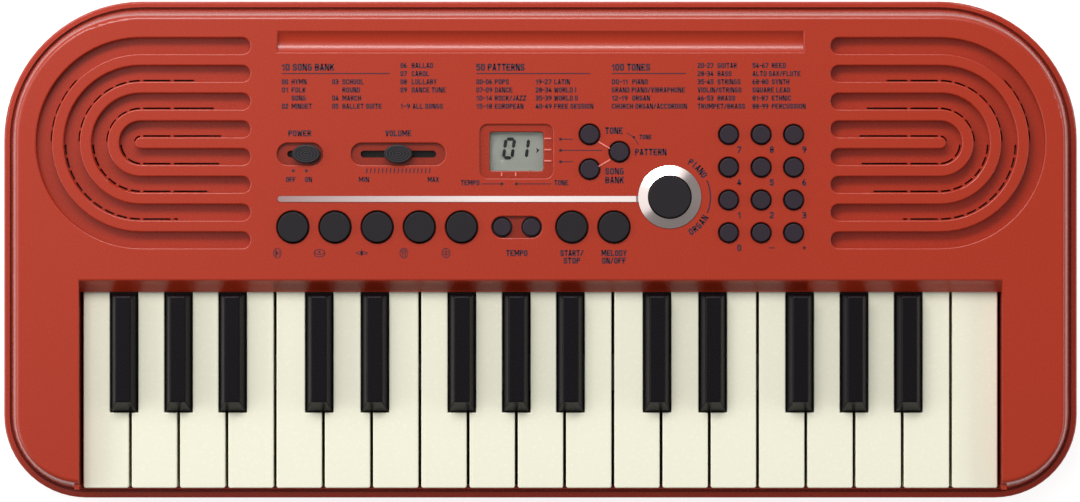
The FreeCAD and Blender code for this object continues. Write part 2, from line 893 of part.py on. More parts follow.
def make_upper_case():
    """The upper case with its key opening, grooves, holes, recesses and bosses."""
    body = new_body("upper_shell")
    height = size.panel_z - size.ledge_z
    lean(pad(body, size.ledge_z, size.panel_z, draw_case, UPPER_INSET), -size.upper_lean, height)
    round_edges(body, size.upper_round, lambda edge: lies_at(edge, size.panel_z))
    inside = pocket_up(body, size.ledge_z, PANEL_UNDER, draw_case, UPPER_INSET + size.upper_wall)
    lean(inside, -size.upper_lean, height)
    for side in (-1, 1):
        pad(body, GRILLE_UNDER, PANEL_UNDER + 0.4, draw_grille, side)
        near = side * (size.opening_half - 1)
        far = side * (size.opening_half + size.opening_wall)
        left, right = (near, far) if side > 0 else (far, near)
        pad(body, size.opening_wall_low, PANEL_UNDER + 0.4, draw_rectangle, left, right,
            size.rail_inner_y, size.opening_rear_y)
    across(body, "Pad", size.opening_half + size.opening_wall, draw_opening_wall)
    across(body, "Pocket", size.opening_half, draw_opening_section)
    places = mirrored_places(SCREW_PLACES)
    pad(body, size.boss_joint_z, PANEL_UNDER + 0.4, draw_circles, places, size.boss_radius - 0.5)
    pocket(body, size.boss_joint_z, size.screw_top_z + 2, draw_circles, places,
           size.screw_radius + size.screw_pilot_clear)
    pad(body, BOARD_TOP, PANEL_UNDER + 0.4, draw_circles, BOARD_SCREW_PLACES,
        size.board_post_radius)
    pocket(body, BOARD_TOP, BOARD_TOP + size.board_screw_bite + 0.3, draw_circles,
           BOARD_SCREW_PLACES, size.board_screw_radius + size.screw_pilot_clear)
    pocket(body, PANEL_UNDER, size.panel_z, draw_button_holes)
    cut_recesses(body)
    for side in (-1, 1):
        for radius in groove_radii():
            pocket(body, size.panel_z - size.groove_depth, size.panel_z, draw_groove, side, radius)
    round_edges(body, size.groove_round, is_groove_rim)
    round_edges(body, size.recess_round, is_recess_rim)
    round_edges(body, size.channel_round, is_channel_rim)
    round_edges(body, size.opening_round, is_opening_rim)
    case = cut("upper_case", body, sound_slots())
    return case


def is_groove_rim(edge):
    """Whether an edge is the rim of a speaker groove, on the panel's top."""
    box_ = edge.BoundBox
    reach = groove_radii()[-1] + size.groove_width / 2 + 0.1
    inside_x = min(abs(box_.XMin), abs(box_.XMax)) > size.groove_end_x.value - 0.1
    outside_x = max(abs(box_.XMin), abs(box_.XMax)) < (size.speaker_x + reach).value
    low = (size.speaker_y - reach).value
    high = (size.speaker_y + reach).value
    return (lies_at(edge, size.panel_z) and inside_x and outside_x
            and box_.YMin > low and box_.YMax < high)


def cut_recesses(body):
    """The recesses of the switches, tempo buttons, display, trim and long channel."""
    top = size.panel_z
    for x, length, travel in ((size.power_x, size.power_length, size.power_travel),
                              (size.volume_x, size.volume_length, size.volume_travel)):
        pocket(body, SLIDE_FLOOR, top, draw_stadium, x, size.slide_y, length,
               size.slide_recess_width)
        pocket(body, PANEL_UNDER, SLIDE_FLOOR, draw_stadium, x, size.slide_y,
               travel + size.stem_length + 2 * size.slot_clear, size.slide_slot_width)
    width = 2 * (size.tempo_radius + size.button_clear + size.tempo_recess_margin)
    pocket(body, top - size.tempo_recess_depth, top, draw_stadium, size.tempo_x, size.pad_row_y,
           width + 2 * size.tempo_half_step, width)
    pocket(body, top - size.display_recess_depth, top, draw_centred_rounded,
           size.display_x, size.display_y, size.display_recess_x, size.display_recess_y,
           size.display_recess_round)
    pocket(body, PANEL_UNDER, top, draw_centred_rounded, size.display_x, size.display_y,
           size.window_x, size.window_y, size.window_round)
    rebate = 2 * size.window_rebate
    pocket(body, PANEL_UNDER, PANEL_UNDER + size.window_rebate_height, draw_centred,
           size.display_x, size.display_y, size.window_x + rebate, size.window_y + rebate)
    pocket(body, top - size.trim_seat, top, draw_circle, size.large_x, size.large_y,
           size.ring_outer + size.trim_fit)
    pocket(body, top - size.trim_seat, top, draw_trim_line, size.trim_fit)
    pocket(body, PANEL_UNDER, top, draw_circle, size.large_x, size.large_y,
           size.large_radius + size.button_clear)
    across(body, "Pocket", size.channel_half, draw_channel)


def draw_centred(sketch, x, y, length, width):
    """Draws a rectangle by its middle."""
    draw_rectangle(sketch, x - length / 2, x + length / 2, y - width / 2, y + width / 2)


def draw_centred_rounded(sketch, x, y, length, width, radius):
    """Draws a round-cornered rectangle by its middle."""
    draw_rounded(sketch, x - length / 2, x + length / 2, y - width / 2, y + width / 2, radius)


def draw_trim_line(sketch, grow):
    """Draws the seat of the line that runs into the ring, grown by a fit."""
    half = size.trim_line_width / 2 + grow
    left = size.trim_line_left - grow + half
    y = size.trim_line_y
    trace(
        sketch,
        (left, y - half),
        (size.large_x, y - half),
        (size.large_x, y + half),
        (left, y + half),
        (left, y - half, left, y, 1),
    )


def draw_channel(sketch):
    """Draws the hollow section of the long channel: one arc below the panel's top."""
    half = (size.channel_rear_y - size.channel_front_y) / 2
    middle = (size.channel_rear_y + size.channel_front_y) / 2
    rise = (half * half - size.channel_depth * size.channel_depth) / (2 * size.channel_depth)
    trace(
        sketch,
        (size.channel_front_y, size.panel_z),
        (size.channel_rear_y, size.panel_z, middle, size.panel_z + rise, 1),
        (size.channel_front_y, size.panel_z),
    )


def is_recess_rim(edge):
    """Whether an edge is the rim of a button hole or recess, on the panel or round the window."""
    box_ = edge.BoundBox
    floor = size.panel_z - size.display_recess_depth
    in_window = abs(box_.XMin - size.display_x.value) < size.window_x.value / 2 + 0.1
    if lies_at(edge, floor):
        return in_window
    behind_keys = box_.YMin > size.opening_rear_y.value + 1
    before_channel = box_.YMax < size.channel_front_y.value - 1
    between_grooves = max(abs(box_.XMin), abs(box_.XMax)) < size.groove_end_x.value - 1
    return (lies_at(edge, size.panel_z) and behind_keys and before_channel and between_grooves
            and not is_trim_rim(edge))


def is_trim_rim(edge):
    """Whether an edge belongs to the seat of the ring and its line."""
    box_ = edge.BoundBox
    middle = edge.CenterOfMass
    reach = math.hypot(middle.x - size.large_x.value, middle.y - size.large_y.value)
    half = size.trim_line_width.value / 2 + size.trim_fit.value + 0.01
    on_line = (box_.YMin > size.trim_line_y.value - half
               and box_.YMax < size.trim_line_y.value + half)
    return on_line or reach < size.ring_outer.value + 1


def is_channel_rim(edge):
    """Whether an edge is the rim of the long channel."""
    box_ = edge.BoundBox
    return (lies_at(edge, size.panel_z)
            and box_.YMin > size.channel_front_y.value - 0.1
            and box_.YMax < size.channel_rear_y.value + 0.1
            and max(abs(box_.XMin), abs(box_.XMax)) < size.channel_half.value + 0.1)


def is_opening_rim(edge):
    """Whether an edge is the rear rim of the key opening."""
    return lies_at(edge, size.panel_z) and lies_at(edge, size.opening_rear_y, "y")


def slot_solid(side, radius, middle, turn):
    """One short curved slot through the panel, about a speaker's middle."""
    half = size.slot_width.value / 2
    low = GRILLE_UNDER.value - 1
    tall = size.panel_z.value - low - size.groove_depth.value + 0.2
    centre = Vector(side * size.speaker_x.value, size.speaker_y.value, low)
    start = middle - turn / 2
    ring = Part.makeCylinder(radius + half, tall, centre, Vector(0, 0, 1), turn)
    core = Part.makeCylinder(radius - half, tall, centre, Vector(0, 0, 1), turn)
    piece = ring.cut(core)
    piece.rotate(centre, Vector(0, 0, 1), start)
    return piece


def arm_slot(side, near, far, y):
    """One straight slot through the panel, in a groove's arm."""
    width = size.slot_width.value
    low = GRILLE_UNDER.value - 1
    tall = size.panel_z.value - low - size.groove_depth.value + 0.2
    left = min(side * near, side * far)
    return Part.makeBox(far - near, width, tall, Vector(left, y - width / 2, low))


def sound_slots():
    """The slots that let the sound out, along the front foot of every groove over a speaker."""
    foot = size.groove_width.value / 2 - size.slot_inset.value
    middle_x = size.speaker_x.value
    middle_y = size.speaker_y.value
    heart = Vector(size.slot_heart_x.value, size.slot_heart_y.value, 0)
    reach = size.slot_reach.value
    step = size.slot_pitch.value
    slots = []
    for dim in groove_radii():
        for radius, first in ((dim.value - foot, 0.0), (dim.value + foot, -90.0)):
            count = max(1, round(radius * math.pi / 2 / step))
            for index in range(count):
                angle = first + (index + 0.5) * 90.0 / count
                ray = math.radians(angle)
                place = Vector(middle_x + radius * math.cos(ray), middle_y + radius * math.sin(ray), 0)
                if (place - heart).Length > reach:
                    continue
                turn = 90.0 / count - math.degrees(size.slot_bridge.value / radius)
                slots.append(slot_solid(1, radius, angle, turn))
                slots.append(slot_solid(-1, radius, 180.0 - angle, turn))
        for y in (middle_y + dim.value - foot, middle_y - dim.value - foot):
            away = abs(y - heart.y)
            if away > reach:
                continue
            end = heart.x - math.sqrt(reach ** 2 - away ** 2)
            split = middle_x - size.arm_slot_length.value
            gap = size.slot_bridge.value / 2
            for near, far in ((split + gap, middle_x - gap), (end, split - gap)):
                if far - near > gap:
                    slots.append(arm_slot(1, near, far, y))
                    slots.append(arm_slot(-1, near, far, y))
    made = DOC.addObject("Part::Feature", "sound_slots")
    made.Shape = Part.makeCompound(slots)
    return made


# ---------------------------------------------------------------- keys


def white_edges(index):
    """Left and right side of a white key."""
    left = KEYS_LEFT + size.key_pitch * index + size.key_gap / 2
    return left, left + size.key_pitch - size.key_gap


def black_middle(index):
    """The middle of the black key between a white key and the next, or None."""
    note = WHITE_NOTES[index][0]
    if note not in SHARP_SHIFT or index + 1 >= len(WHITE_NOTES):
        return None
    return KEYS_LEFT + size.key_pitch * (index + 1) + SHARP_SHIFT[note]


def tail_edges(index):
    """Left and right side of a white key's tail, between the black keys."""
    left, right = white_edges(index)
    before = black_middle(index - 1) if index > 0 else None
    after = black_middle(index)
    if before is not None:
        left = before + size.black_slot / 2
    if after is not None:
        right = after - size.black_slot / 2
    return left, right


def draw_white(sketch, index, inset):
    """Draws a white key from above, with a notch beside each black key."""
    left, right = white_edges(index)
    tail_left, tail_right = tail_edges(index)
    front = size.key_front_y + inset
    rear = size.key_rear_y - inset
    notch = size.black_front_y - size.notch_clear - inset
    corners = [(left + inset, front), (right - inset, front)]
    if tail_right.value < right.value:
        corners += [(right - inset, notch), (tail_right - inset, notch)]
    corners += [(tail_right - inset, rear), (tail_left + inset, rear)]
    if tail_left.value > left.value:
        corners += [(tail_left + inset, notch), (left + inset, notch)]
    trace(sketch, *corners, corners[0])


def draw_lug(sketch):
    """Draws the side of a key's hinge lug, from the tail's rear wall round the rod."""
    start = size.key_rear_y - size.key_wall / 2
    low = size.hinge_z - size.lug_radius
    high = size.hinge_z + size.lug_radius
    trace(
        sketch,
        (start, low),
        (size.hinge_y, low),
        (size.hinge_y, high, size.hinge_y, size.hinge_z, 1),
        (start, high),
        (start, low),
    )


def add_lug(body, middle):
    """The hinge lug of a key, with its bore."""
    left = middle - size.lug_width / 2
    right = middle + size.lug_width / 2
    pad(body, left, right, draw_lug, role="YZ_Plane")
    pocket(body, left, right, draw_circle, size.hinge_y, size.hinge_z,
           size.rod_radius + size.rod_clear, role="YZ_Plane")


def add_actuator(body, left, right, high):
    """The rib that presses on the contact rubber."""
    half = size.actuator_thick / 2
    pad(body, size.actuator_z, high, draw_rectangle, left, right,
        size.actuator_y - half, size.actuator_y + half)


def make_white_key(index):
    """One hollow white key."""
    body = new_body(f"white_key_{WHITE_NOTES[index]}")
    left, right = white_edges(index)
    tail_left, tail_right = tail_edges(index)
    hollow_top = size.key_top_z - size.key_skin
    pad(body, size.key_bottom_z, size.key_top_z, draw_white, index, as_dim(0))
    front = size.key_front_y.value
    round_edges(body, size.key_corner, lambda edge: (
        edge.BoundBox.ZLength > 5 and edge.BoundBox.YMax < front + 0.01))
    round_edges(body, size.key_round, lambda edge: lies_at(edge, size.key_top_z))
    pocket(body, size.key_bottom_z, hollow_top, draw_white, index, size.key_wall)
    half_wall = size.key_wall / 2
    add_actuator(body, tail_left + half_wall, tail_right - half_wall, hollow_top + 0.4)
    add_lug(body, (tail_left + tail_right) / 2)
    return body


def make_black_key(index):
    """One black key: a straight root, a leaning top and a hollow below."""
    body = new_body(f"black_key_{WHITE_NOTES[index]}_sharp")
    middle = black_middle(index)
    half = size.black_width / 2
    top_half = size.black_top_width / 2
    root_top = size.key_top_z - 0.4
    pad(body, size.black_bottom_z, root_top, draw_rectangle, middle - half, middle + half,
        size.black_front_y, size.key_rear_y)
    wedge(
        body, "Additive", 90,
        (middle - half, size.black_rear_y, root_top),
        (size.black_width, size.black_rear_y - size.black_front_y),
        size.black_top_z - root_top,
        (half - top_half, half + top_half, size.black_rear_y - size.black_top_rear_y,
         size.black_rear_y - size.black_top_front_y),
    )
    above = root_top.value + 1
    round_edges(body, size.black_round, lambda edge: (
        edge.BoundBox.ZMax > above and edge.BoundBox.ZMin > root_top.value - 0.01))
    inner = half - size.key_wall
    hollow_top = size.key_top_z - size.key_skin
    pocket(body, size.black_bottom_z, hollow_top, draw_rectangle, middle - inner, middle + inner,
           size.black_front_y + size.key_wall, size.key_rear_y - size.key_wall)
    slim = top_half - 1
    pocket(body, hollow_top - 1, size.black_top_z - size.key_skin, draw_rectangle,
           middle - slim, middle + slim, size.black_top_front_y + size.key_wall,
           size.black_top_rear_y - size.key_wall)
    add_actuator(body, middle - inner - 0.4, middle + inner + 0.4, hollow_top + 0.4)
    add_lug(body, middle)
    return body


def make_hinge_rod():
    """The steel rod that every key turns on."""
    end = -KEYS_LEFT + 1.5
    rod = cylinder(size.rod_radius, -end, end, size.hinge_y, size.hinge_z, axis="x")
    rod.Label = "key_hinge_rod"
    return rod


def bearing_places():
    """X of each rib that carries the rod: both ends, and between white keys with no black key."""
    between = [index for index in range(len(WHITE_NOTES) - 1) if black_middle(index) is None]
    inner = [KEYS_LEFT + size.key_pitch * (index + 1) for index in between]
    return [KEYS_LEFT] + inner + [-KEYS_LEFT]


def make_key_chassis():
    """The plate under the keys, with its rod bearings, guide posts and board rails."""
    body = new_body("chassis_plate")
    end = -KEYS_LEFT
    pad(body, size.chassis_z, CHASSIS_TOP, draw_rectangle, -end, end,
        size.chassis_front_y, size.chassis_rear_y)
    pieces = [body]
    half = size.bearing_thick / 2
    for x in bearing_places():
        pieces.append(box(x - half, x + half, size.bearing_front_y, size.chassis_rear_y,
                          size.chassis_z, size.bearing_top_z))
    half = size.guide_width / 2
    deep = size.guide_depth / 2
    for index in range(len(WHITE_NOTES)):
        left, right = white_edges(index)
        guides = [((left + right) / 2, size.white_guide_y)]
        black = black_middle(index)
        if black is not None:
            guides.append((black, size.black_guide_y))
        for x, y in guides:
            pieces.append(box(x - half, x + half, y - deep, y + deep,
                              size.chassis_z, size.guide_top_z))
    reach = size.contact_board_depth / 2
    for front in (size.actuator_y - reach, size.actuator_y + reach - size.support_thick):
        pieces.append(box(1 - end, end - 1, front, front + size.support_thick,
                          size.chassis_z, size.contact_board_z))
    ribbed = fuse("chassis_ribbed", pieces)
    reach = end + size.bearing_thick
    bore = cylinder(size.rod_radius + size.rod_clear, -reach, reach, size.hinge_y, size.hinge_z,
                    axis="x")
    return cut("key_chassis", ribbed, bore)


def draw_contact_strip(sketch, margin):
    """Draws the outline of the board under the keys, or of the rubber on it."""
    end = -KEYS_LEFT - 1 - margin
    deep = size.contact_board_depth / 2 - margin
    draw_rectangle(sketch, -end, end, size.actuator_y - deep, size.actuator_y + deep)


def make_contact_board():
    """The circuit board with the contacts of the keys."""
    body = new_body("key_contact_board")
    pad(body, size.contact_board_z, CONTACT_TOP, draw_contact_strip, as_dim(0))
    return body


def make_contact_rubber():
    """The rubber strip with one dome under each key."""
    strip = new_body("contact_strip")
    top = CONTACT_TOP + size.rubber_thick
    pad(strip, CONTACT_TOP, top, draw_contact_strip, as_dim(1.5))
    pieces = [strip]
    middles = []
    for index in range(len(WHITE_NOTES)):
        tail_left, tail_right = tail_edges(index)
        middles.append((tail_left + tail_right) / 2)
        black = black_middle(index)
        if black is not None:
            middles.append(black)
    for x in middles:
        dome = DOC.addObject("Part::Cone", "dome")
        bind(dome, "Radius1", size.dome_radius)
        bind(dome, "Radius2", size.dome_top_radius)
        bind(dome, "Height", size.dome_top_z - top + 0.4)
        for name, dim in (("x", x), ("y", size.actuator_y), ("z", top - 0.4)):
            bind(dome, f"Placement.Base.{name}", dim)
        pieces.append(dome)
    return fuse("key_contact_rubber", pieces)


# ---------------------------------------------------------------- panel controls


def add_cap(body, x, y, radius, proud):
    """A button's cap and the flange that keeps it under the panel."""
    pad(body, FLANGE_LOW, size.panel_z + proud, draw_circle, x, y, radius)
    pad(body, FLANGE_LOW, FLANGE_TOP, draw_circle, x, y, radius + size.flange_extra)


def round_caps(body, level):
    """Rounds the top rim of every cap of a body."""
    round_edges(body, size.button_round, lambda edge: lies_at(edge, level))


def make_button(label, x, y, radius, proud):
    """One push button."""
    body = new_body(label)
    add_cap(body, x, y, radius, proud)
    round_caps(body, size.panel_z + proud)
    return body


def make_comb(label, places, radius, proud, bars):
    """Several caps moulded on one thin web under the panel."""
    body = new_body(label)
    pad(body, FLANGE_LOW, FLANGE_TOP, draw_rectangle, *bars)
    pad(body, FLANGE_LOW, size.panel_z + proud, draw_circles, places, radius)
    round_caps(body, size.panel_z + proud)
    return body


def make_pads():
    """The five drum pads on their web."""
    places = [(x, size.pad_row_y) for x in pad_row()]
    half = size.pad_radius + size.flange_extra
    bars = (places[0][0] - half, places[-1][0] + half,
            size.pad_row_y - size.pad_radius, size.pad_row_y + size.pad_radius)
    return make_comb("drum_pads", places, size.pad_radius, size.button_proud, bars)


def make_numbers():
    """The twelve number buttons on their web."""
    places = number_places()
    half = size.number_radius + size.flange_extra
    bars = (places[0][0] - half, places[-1][0] + half, places[0][1] - half, places[-1][1] + half)
    return make_comb("number_buttons", places, size.number_radius, size.button_proud, bars)


def make_modes():
    """The three mode buttons on their web."""
    places = mode_places()
    half = size.mode_radius + size.flange_extra / 2
    bars = (size.mode_x - half, size.mode_right_x + half,
            places[2][1] - half, places[0][1] + half)
    return make_comb("mode_buttons", places, size.mode_radius, size.button_proud, bars)


def make_slide_knob(label, x):
    """An oval knob with the stem that reaches its switch below the panel."""
    body = new_body(label)
    low = SLIDE_FLOOR + size.flange_gap
    sketch = sketch_on(body, "XY_Plane", low)
    draw_oval(sketch, x)
    top = body.newObject("PartDesign::Pad", "knob")
    top.Profile = sketch
    bind(top, "Length", size.knob_height)
    round_edges(body, size.button_round, lambda edge: lies_at(edge, low + size.knob_height))
    pad(body, size.stem_low_z, low + 0.4, draw_stadium, x, size.slide_y,
        size.stem_length, size.stem_width)
    return body


def draw_oval(sketch, x):
    """Draws the oval outline of a slide knob."""
    long_half = size.knob_length / 2
    short_half = size.knob_width / 2
    centre = Vector(x.value, size.slide_y.value, 0)
    oval = Part.Ellipse(centre, long_half.value, short_half.value)
    index = sketch.addGeometry(oval)
    constrain(sketch, place_rules(index, 3, x, size.slide_y))
    sketch.exposeInternalGeometry(index)
    major = index + 1
    minor = index + 2
    constrain(sketch, [
        ("Horizontal", major),
        ("Distance", major, 2 * long_half),
        ("Distance", minor, 2 * short_half),
    ])


def make_panel_trim():
    """The bright ring round the large button, and the line that runs into it."""
    ring = new_body("trim_ring")
    seat = size.panel_z - size.trim_seat
    inner = size.large_radius + size.ring_clear
    sketch = sketch_on(ring, "XZ_Plane", -size.large_y)
    x = size.large_x
    trace(
        sketch,
        (x + inner, seat),
        (x + size.ring_outer, seat),
        (x + size.ring_outer, size.panel_z + size.ring_outer_proud),
        (x + inner, size.panel_z + size.ring_inner_proud),
        (x + inner, seat),
    )
    axis = sketch.addGeometry(Part.LineSegment(
        Vector(x.value, seat.value, 0), Vector(x.value, seat.value + 10, 0)), True)
    rules = place_rules(axis, 1, x, seat) + place_rules(axis, 2, x, seat + 10)
    constrain(sketch, rules)
    turned = ring.newObject("PartDesign::Revolution", "turned")
    turned.Profile = sketch
    turned.ReferenceAxis = (sketch, ["Axis0"])
    turned.Angle = 360
    line = new_body("trim_line")
    stop = size.large_x - size.ring_outer + 0.4
    half = size.trim_line_width / 2
    y = size.trim_line_y
    left = size.trim_line_left + half
    sketch = sketch_on(line, "XY_Plane", seat)
    trace(
        sketch,
        (left, y - half),
        (stop, y - half),
        (stop, y + half),
        (left, y + half),
        (left, y - half, left, y, 1),
    )
    bar = line.newObject("PartDesign::Pad", "bar")
    bar.Profile = sketch
    bind(bar, "Length", size.trim_seat + size.trim_line_proud)
    return fuse("panel_trim", [ring, line])


# ---------------------------------------------------------------- electronics


def draw_board_holes(sketch):
    """Draws the screw holes of the main board."""
    for x, y in BOARD_SCREW_PLACES:
        draw_circle(sketch, x, y, size.board_screw_radius + size.board_hole_clear)


def make_main_board():
    """The board behind the panel, with its slide switch, slide control and chips."""
    body = new_body("main_board")
    pad(body, BOARD_LOW, BOARD_TOP, draw_rectangle, size.main_board_left,
        size.main_board_right, size.main_board_front, size.main_board_rear)
    pocket(body, BOARD_LOW, BOARD_TOP, draw_board_holes)
    for x, travel in ((size.power_x, size.power_travel), (size.volume_x, size.volume_travel)):
        room = travel + size.stem_length + 2 * size.slot_clear
        pad(body, BOARD_TOP - 0.4, size.switch_body_top_z, draw_centred, x, size.slide_y,
            room + 4, size.switch_body_width)
        pocket(body, size.stem_low_z - size.slot_clear, size.switch_body_top_z, draw_centred, x,
               size.slide_y, room, size.stem_width + 2 * size.slot_clear)
    for x, y, length, width in ((-60.0, 24.0, 16.0, 12.0), (10.0, 30.0, 20.0, 14.0),
                                (85.0, 34.0, 12.0, 12.0)):
        pad(body, BOARD_LOW - 2, BOARD_LOW + 0.4, draw_centred,
            as_dim(x), as_dim(y), as_dim(length), as_dim(width))
    return body


def make_button_rubber():
    """The rubber contact mats under the push buttons, on the main board."""
    top = BOARD_TOP + size.mat_thick
    edge = size.pad_radius
    spans = [
        (size.pad_first_x - edge, start_pair()[1] + edge, size.pad_row_y),
    ]
    mats = [box(left, right, y - edge + 1, y + edge - 1, BOARD_TOP, top) for left, right, y in spans]
    grid = number_places()
    edge = size.number_radius
    mats.append(box(grid[0][0] - edge, grid[-1][0] + edge, grid[0][1] - edge + 1, grid[-1][1] + edge,
                    BOARD_TOP, top))
    modes = mode_places()
    mats.append(box(size.mode_x - edge, size.mode_right_x + edge, modes[2][1] - edge,
                    modes[0][1] + edge, BOARD_TOP, top))
    mats.append(cylinder(size.large_radius - 2, BOARD_TOP, top, size.large_x, size.large_y))
    return group("button_contact_rubber", mats)


def make_display_module():
    """The display with its frame, on the main board."""
    body = new_body("display_module")
    pad(body, BOARD_TOP, size.module_z, draw_centred, size.display_x, size.display_y,
        size.module_x, size.module_y)
    margin = 2 * size.glass_margin
    pocket(body, size.module_z - size.glass_step, size.module_z, draw_centred, size.display_x,
           size.display_y, size.module_x - margin, size.module_y - margin)
    return body


def make_display_window():
    """The clear window, with the edge that sits in its rebate under the panel."""
    body = new_body("display_window")
    fit = 2 * size.window_fit
    rebate = 2 * size.window_rebate
    floor = size.panel_z - size.display_recess_depth
    pad(body, PANEL_UNDER, PANEL_UNDER + size.window_rebate_height, draw_centred,
        size.display_x, size.display_y, size.window_x + rebate - fit, size.window_y + rebate - fit)
    pad(body, PANEL_UNDER, floor - size.window_low, draw_centred_rounded, size.display_x,
        size.display_y, size.window_x - fit, size.window_y - fit,
        size.window_round - size.window_fit)
    return body


def make_speaker(side):
    """One loudspeaker: magnet, basket and flange, turned about its axis."""
    body = new_body("speaker_unit")
    sketch = sketch_on(body, "XZ_Plane", -size.speaker_y)
    x = side * size.speaker_x
    low = size.speaker_low_z
    magnet_top = low + size.magnet_height
    flange = GRILLE_UNDER - size.speaker_flange
    rim = size.speaker_radius
    trace(
        sketch,
        (x, low),
        (x + size.magnet_radius, low),
        (x + size.magnet_radius, magnet_top),
        (x + rim - 2.5, flange),
        (x + rim, flange),
        (x + rim, GRILLE_UNDER),
        (x + rim - 4, GRILLE_UNDER),
        (x + size.magnet_radius - 2, magnet_top + 4),
        (x, magnet_top + 4),
        (x, low),
    )
    turned = body.newObject("PartDesign::Revolution", "turned")
    turned.Profile = sketch
    turned.ReferenceAxis = (sketch, ["Axis0"])
    axis = sketch.addGeometry(Part.LineSegment(
        Vector(x.value, low.value, 0), Vector(x.value, low.value + 10, 0)), True)
    constrain(sketch, place_rules(axis, 1, x, low) + place_rules(axis, 2, x, low + 10))
    turned.Angle = 360
    return body


def make_battery_contacts():
    """The spring contacts at one end of the three rows of cells, and the plates at the other."""
    pieces = []
    half = size.contact_size / 2
    middle = (size.cell_room_front + size.cell_room_rear) / 2
    height = FLOOR_TOP + size.cell_row_pitch / 2 + 0.5
    wall = size.cell_room_half
    for row in (-1, 0, 1):
        y = middle + row * size.cell_row_pitch
        pieces.append(box(wall - size.contact_thick, wall, y - half, y + half,
                          height - half, height + half))
        plate = box(-wall, size.contact_thick - wall, y - half, y + half,
                    height - half, height + half)
        spring = DOC.addObject("Part::Cone", "spring")
        bind(spring, "Radius1", half - 0.5)
        bind(spring, "Radius2", half / 2)
        bind(spring, "Height", size.contact_spring_height)
        spring.Placement = Placement(Vector(), Rotation(Vector(0, 1, 0), 90))
        for name, dim in (("x", size.contact_thick - wall - 0.2), ("y", y), ("z", height)):
            bind(spring, f"Placement.Base.{name}", dim)
        pieces.append(fuse("spring_contact", [plate, spring]))
    return group("battery_contacts", pieces)


def make_jack(label, x, width, nose, bore, depth, pin):
    """A jack socket whose nose looks out through the rear wall."""
    half = size.jack_height / 2
    block = box(x - width / 2, x + width / 2, size.jack_front_y, size.jack_rear_y,
                size.jack_z - half, size.jack_z + half)
    tube = cylinder(nose, size.jack_rear_y - 1, size.jack_nose_y, x, size.jack_z, axis="y")
    solid = fuse(f"{label}_block", [block, tube])
    hole = cylinder(bore, size.jack_nose_y - depth, size.jack_nose_y + 1, x, size.jack_z, axis="y")
    bored = cut(f"{label}_bored", solid, hole)
    if pin is None:
        bored.Label = label
        return bored
    centre = cylinder(pin, size.jack_nose_y - depth - 1, size.jack_nose_y - size.power_pin_short,
                      x, size.jack_z, axis="y")
    return fuse(label, [bored, centre])


def make_screws():
    """The case screws, and the smaller screws of the main board."""
    pieces = []
    head_top = size.screw_head_z + size.screw_head_height
    for x, y in mirrored_places(SCREW_PLACES):
        head = cylinder(size.screw_head_radius, size.screw_head_z, head_top, x, y)
        shank = cylinder(size.screw_radius, head_top - 1, size.screw_top_z, x, y)
        pieces.append(fuse("case_screw", [head, shank]))
    low = BOARD_LOW - size.board_screw_head
    for x, y in BOARD_SCREW_PLACES:
        head = cylinder(size.board_post_radius, low, BOARD_LOW, x, y)
        shank = cylinder(size.board_screw_radius, BOARD_LOW - 1,
                         BOARD_TOP + size.board_screw_bite, x, y)
        pieces.append(fuse("board_screw", [head, shank]))
    return group("screws", pieces)


# ---------------------------------------------------------------- the whole keyboard


def make_keyboard():
    """Every node of the keyboard."""
    nodes = [
        make_lower_case(),
        make_upper_case(),
        make_rubber_feet(),
        make_screws(),
        make_battery_cover(),
        make_battery_contacts(),
        make_key_chassis(),
        make_hinge_rod(),
        make_contact_board(),
        make_contact_rubber(),
        make_main_board(),
        make_button_rubber(),
        make_display_module(),
        make_display_window(),
        make_panel_trim(),
        group("speakers", [make_speaker(-1), make_speaker(1)]),
        make_jack("power_jack", size.power_jack_x, size.power_jack_width, size.power_nose_radius,
                  size.power_bore_radius, size.power_bore_depth, size.power_pin_radius),
        make_jack("phones_jack", size.phones_jack_x, size.phones_jack_width,
                  size.phones_nose_radius, size.phones_bore_radius, size.phones_bore_depth, None),
        make_pads(),
        make_numbers(),
        make_modes(),
        make_button("start_stop_button", start_pair()[0], size.pad_row_y, size.pad_radius,
                    size.button_proud),
        make_button("melody_button", start_pair()[1], size.pad_row_y, size.pad_radius,
                    size.button_proud),
        make_button("tempo_down_button", tempo_pair()[0], size.pad_row_y, size.tempo_radius,
                    size.tempo_proud),
        make_button("tempo_up_button", tempo_pair()[1], size.pad_row_y, size.tempo_radius,
                    size.tempo_proud),
        make_button("large_button", size.large_x, size.large_y, size.large_radius,
                    size.large_proud),
        make_slide_knob("power_knob", size.power_x + size.power_travel / 2),
        make_slide_knob("volume_knob", size.volume_x),
    ]
    for index in range(len(WHITE_NOTES)):
        nodes.append(make_white_key(index))
        if black_middle(index) is not None:
            nodes.append(make_black_key(index))
    return nodes


def check(nodes):
    """Stops if any object failed, or a node has no sound solid."""
    for thing in DOC.Objects:
        if "Invalid" in thing.State or "Error" in thing.State:
            raise ValueError(f"{thing.Name} ({thing.Label}) failed: {thing.State}")
    for node in nodes:
        shape = node.Shape
        if shape.isNull() or not shape.isValid() or not shape.Solids:
            raise ValueError(f"{node.Label} has no sound solid")


def main():
    """Builds the keyboard and writes one STEP file for each node."""
    nodes = make_keyboard()
    DOC.recompute()
    check(nodes)
    os.makedirs("parts", exist_ok=True)
    for node in nodes:
        node.Shape.exportStep(f"parts/{node.Label}.step")


main()
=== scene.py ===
"""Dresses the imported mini-key keyboard: plastics, print, display, grip ribs, underside and stage."""

import math

import bmesh
import bpy
from mathutils import Matrix, Vector


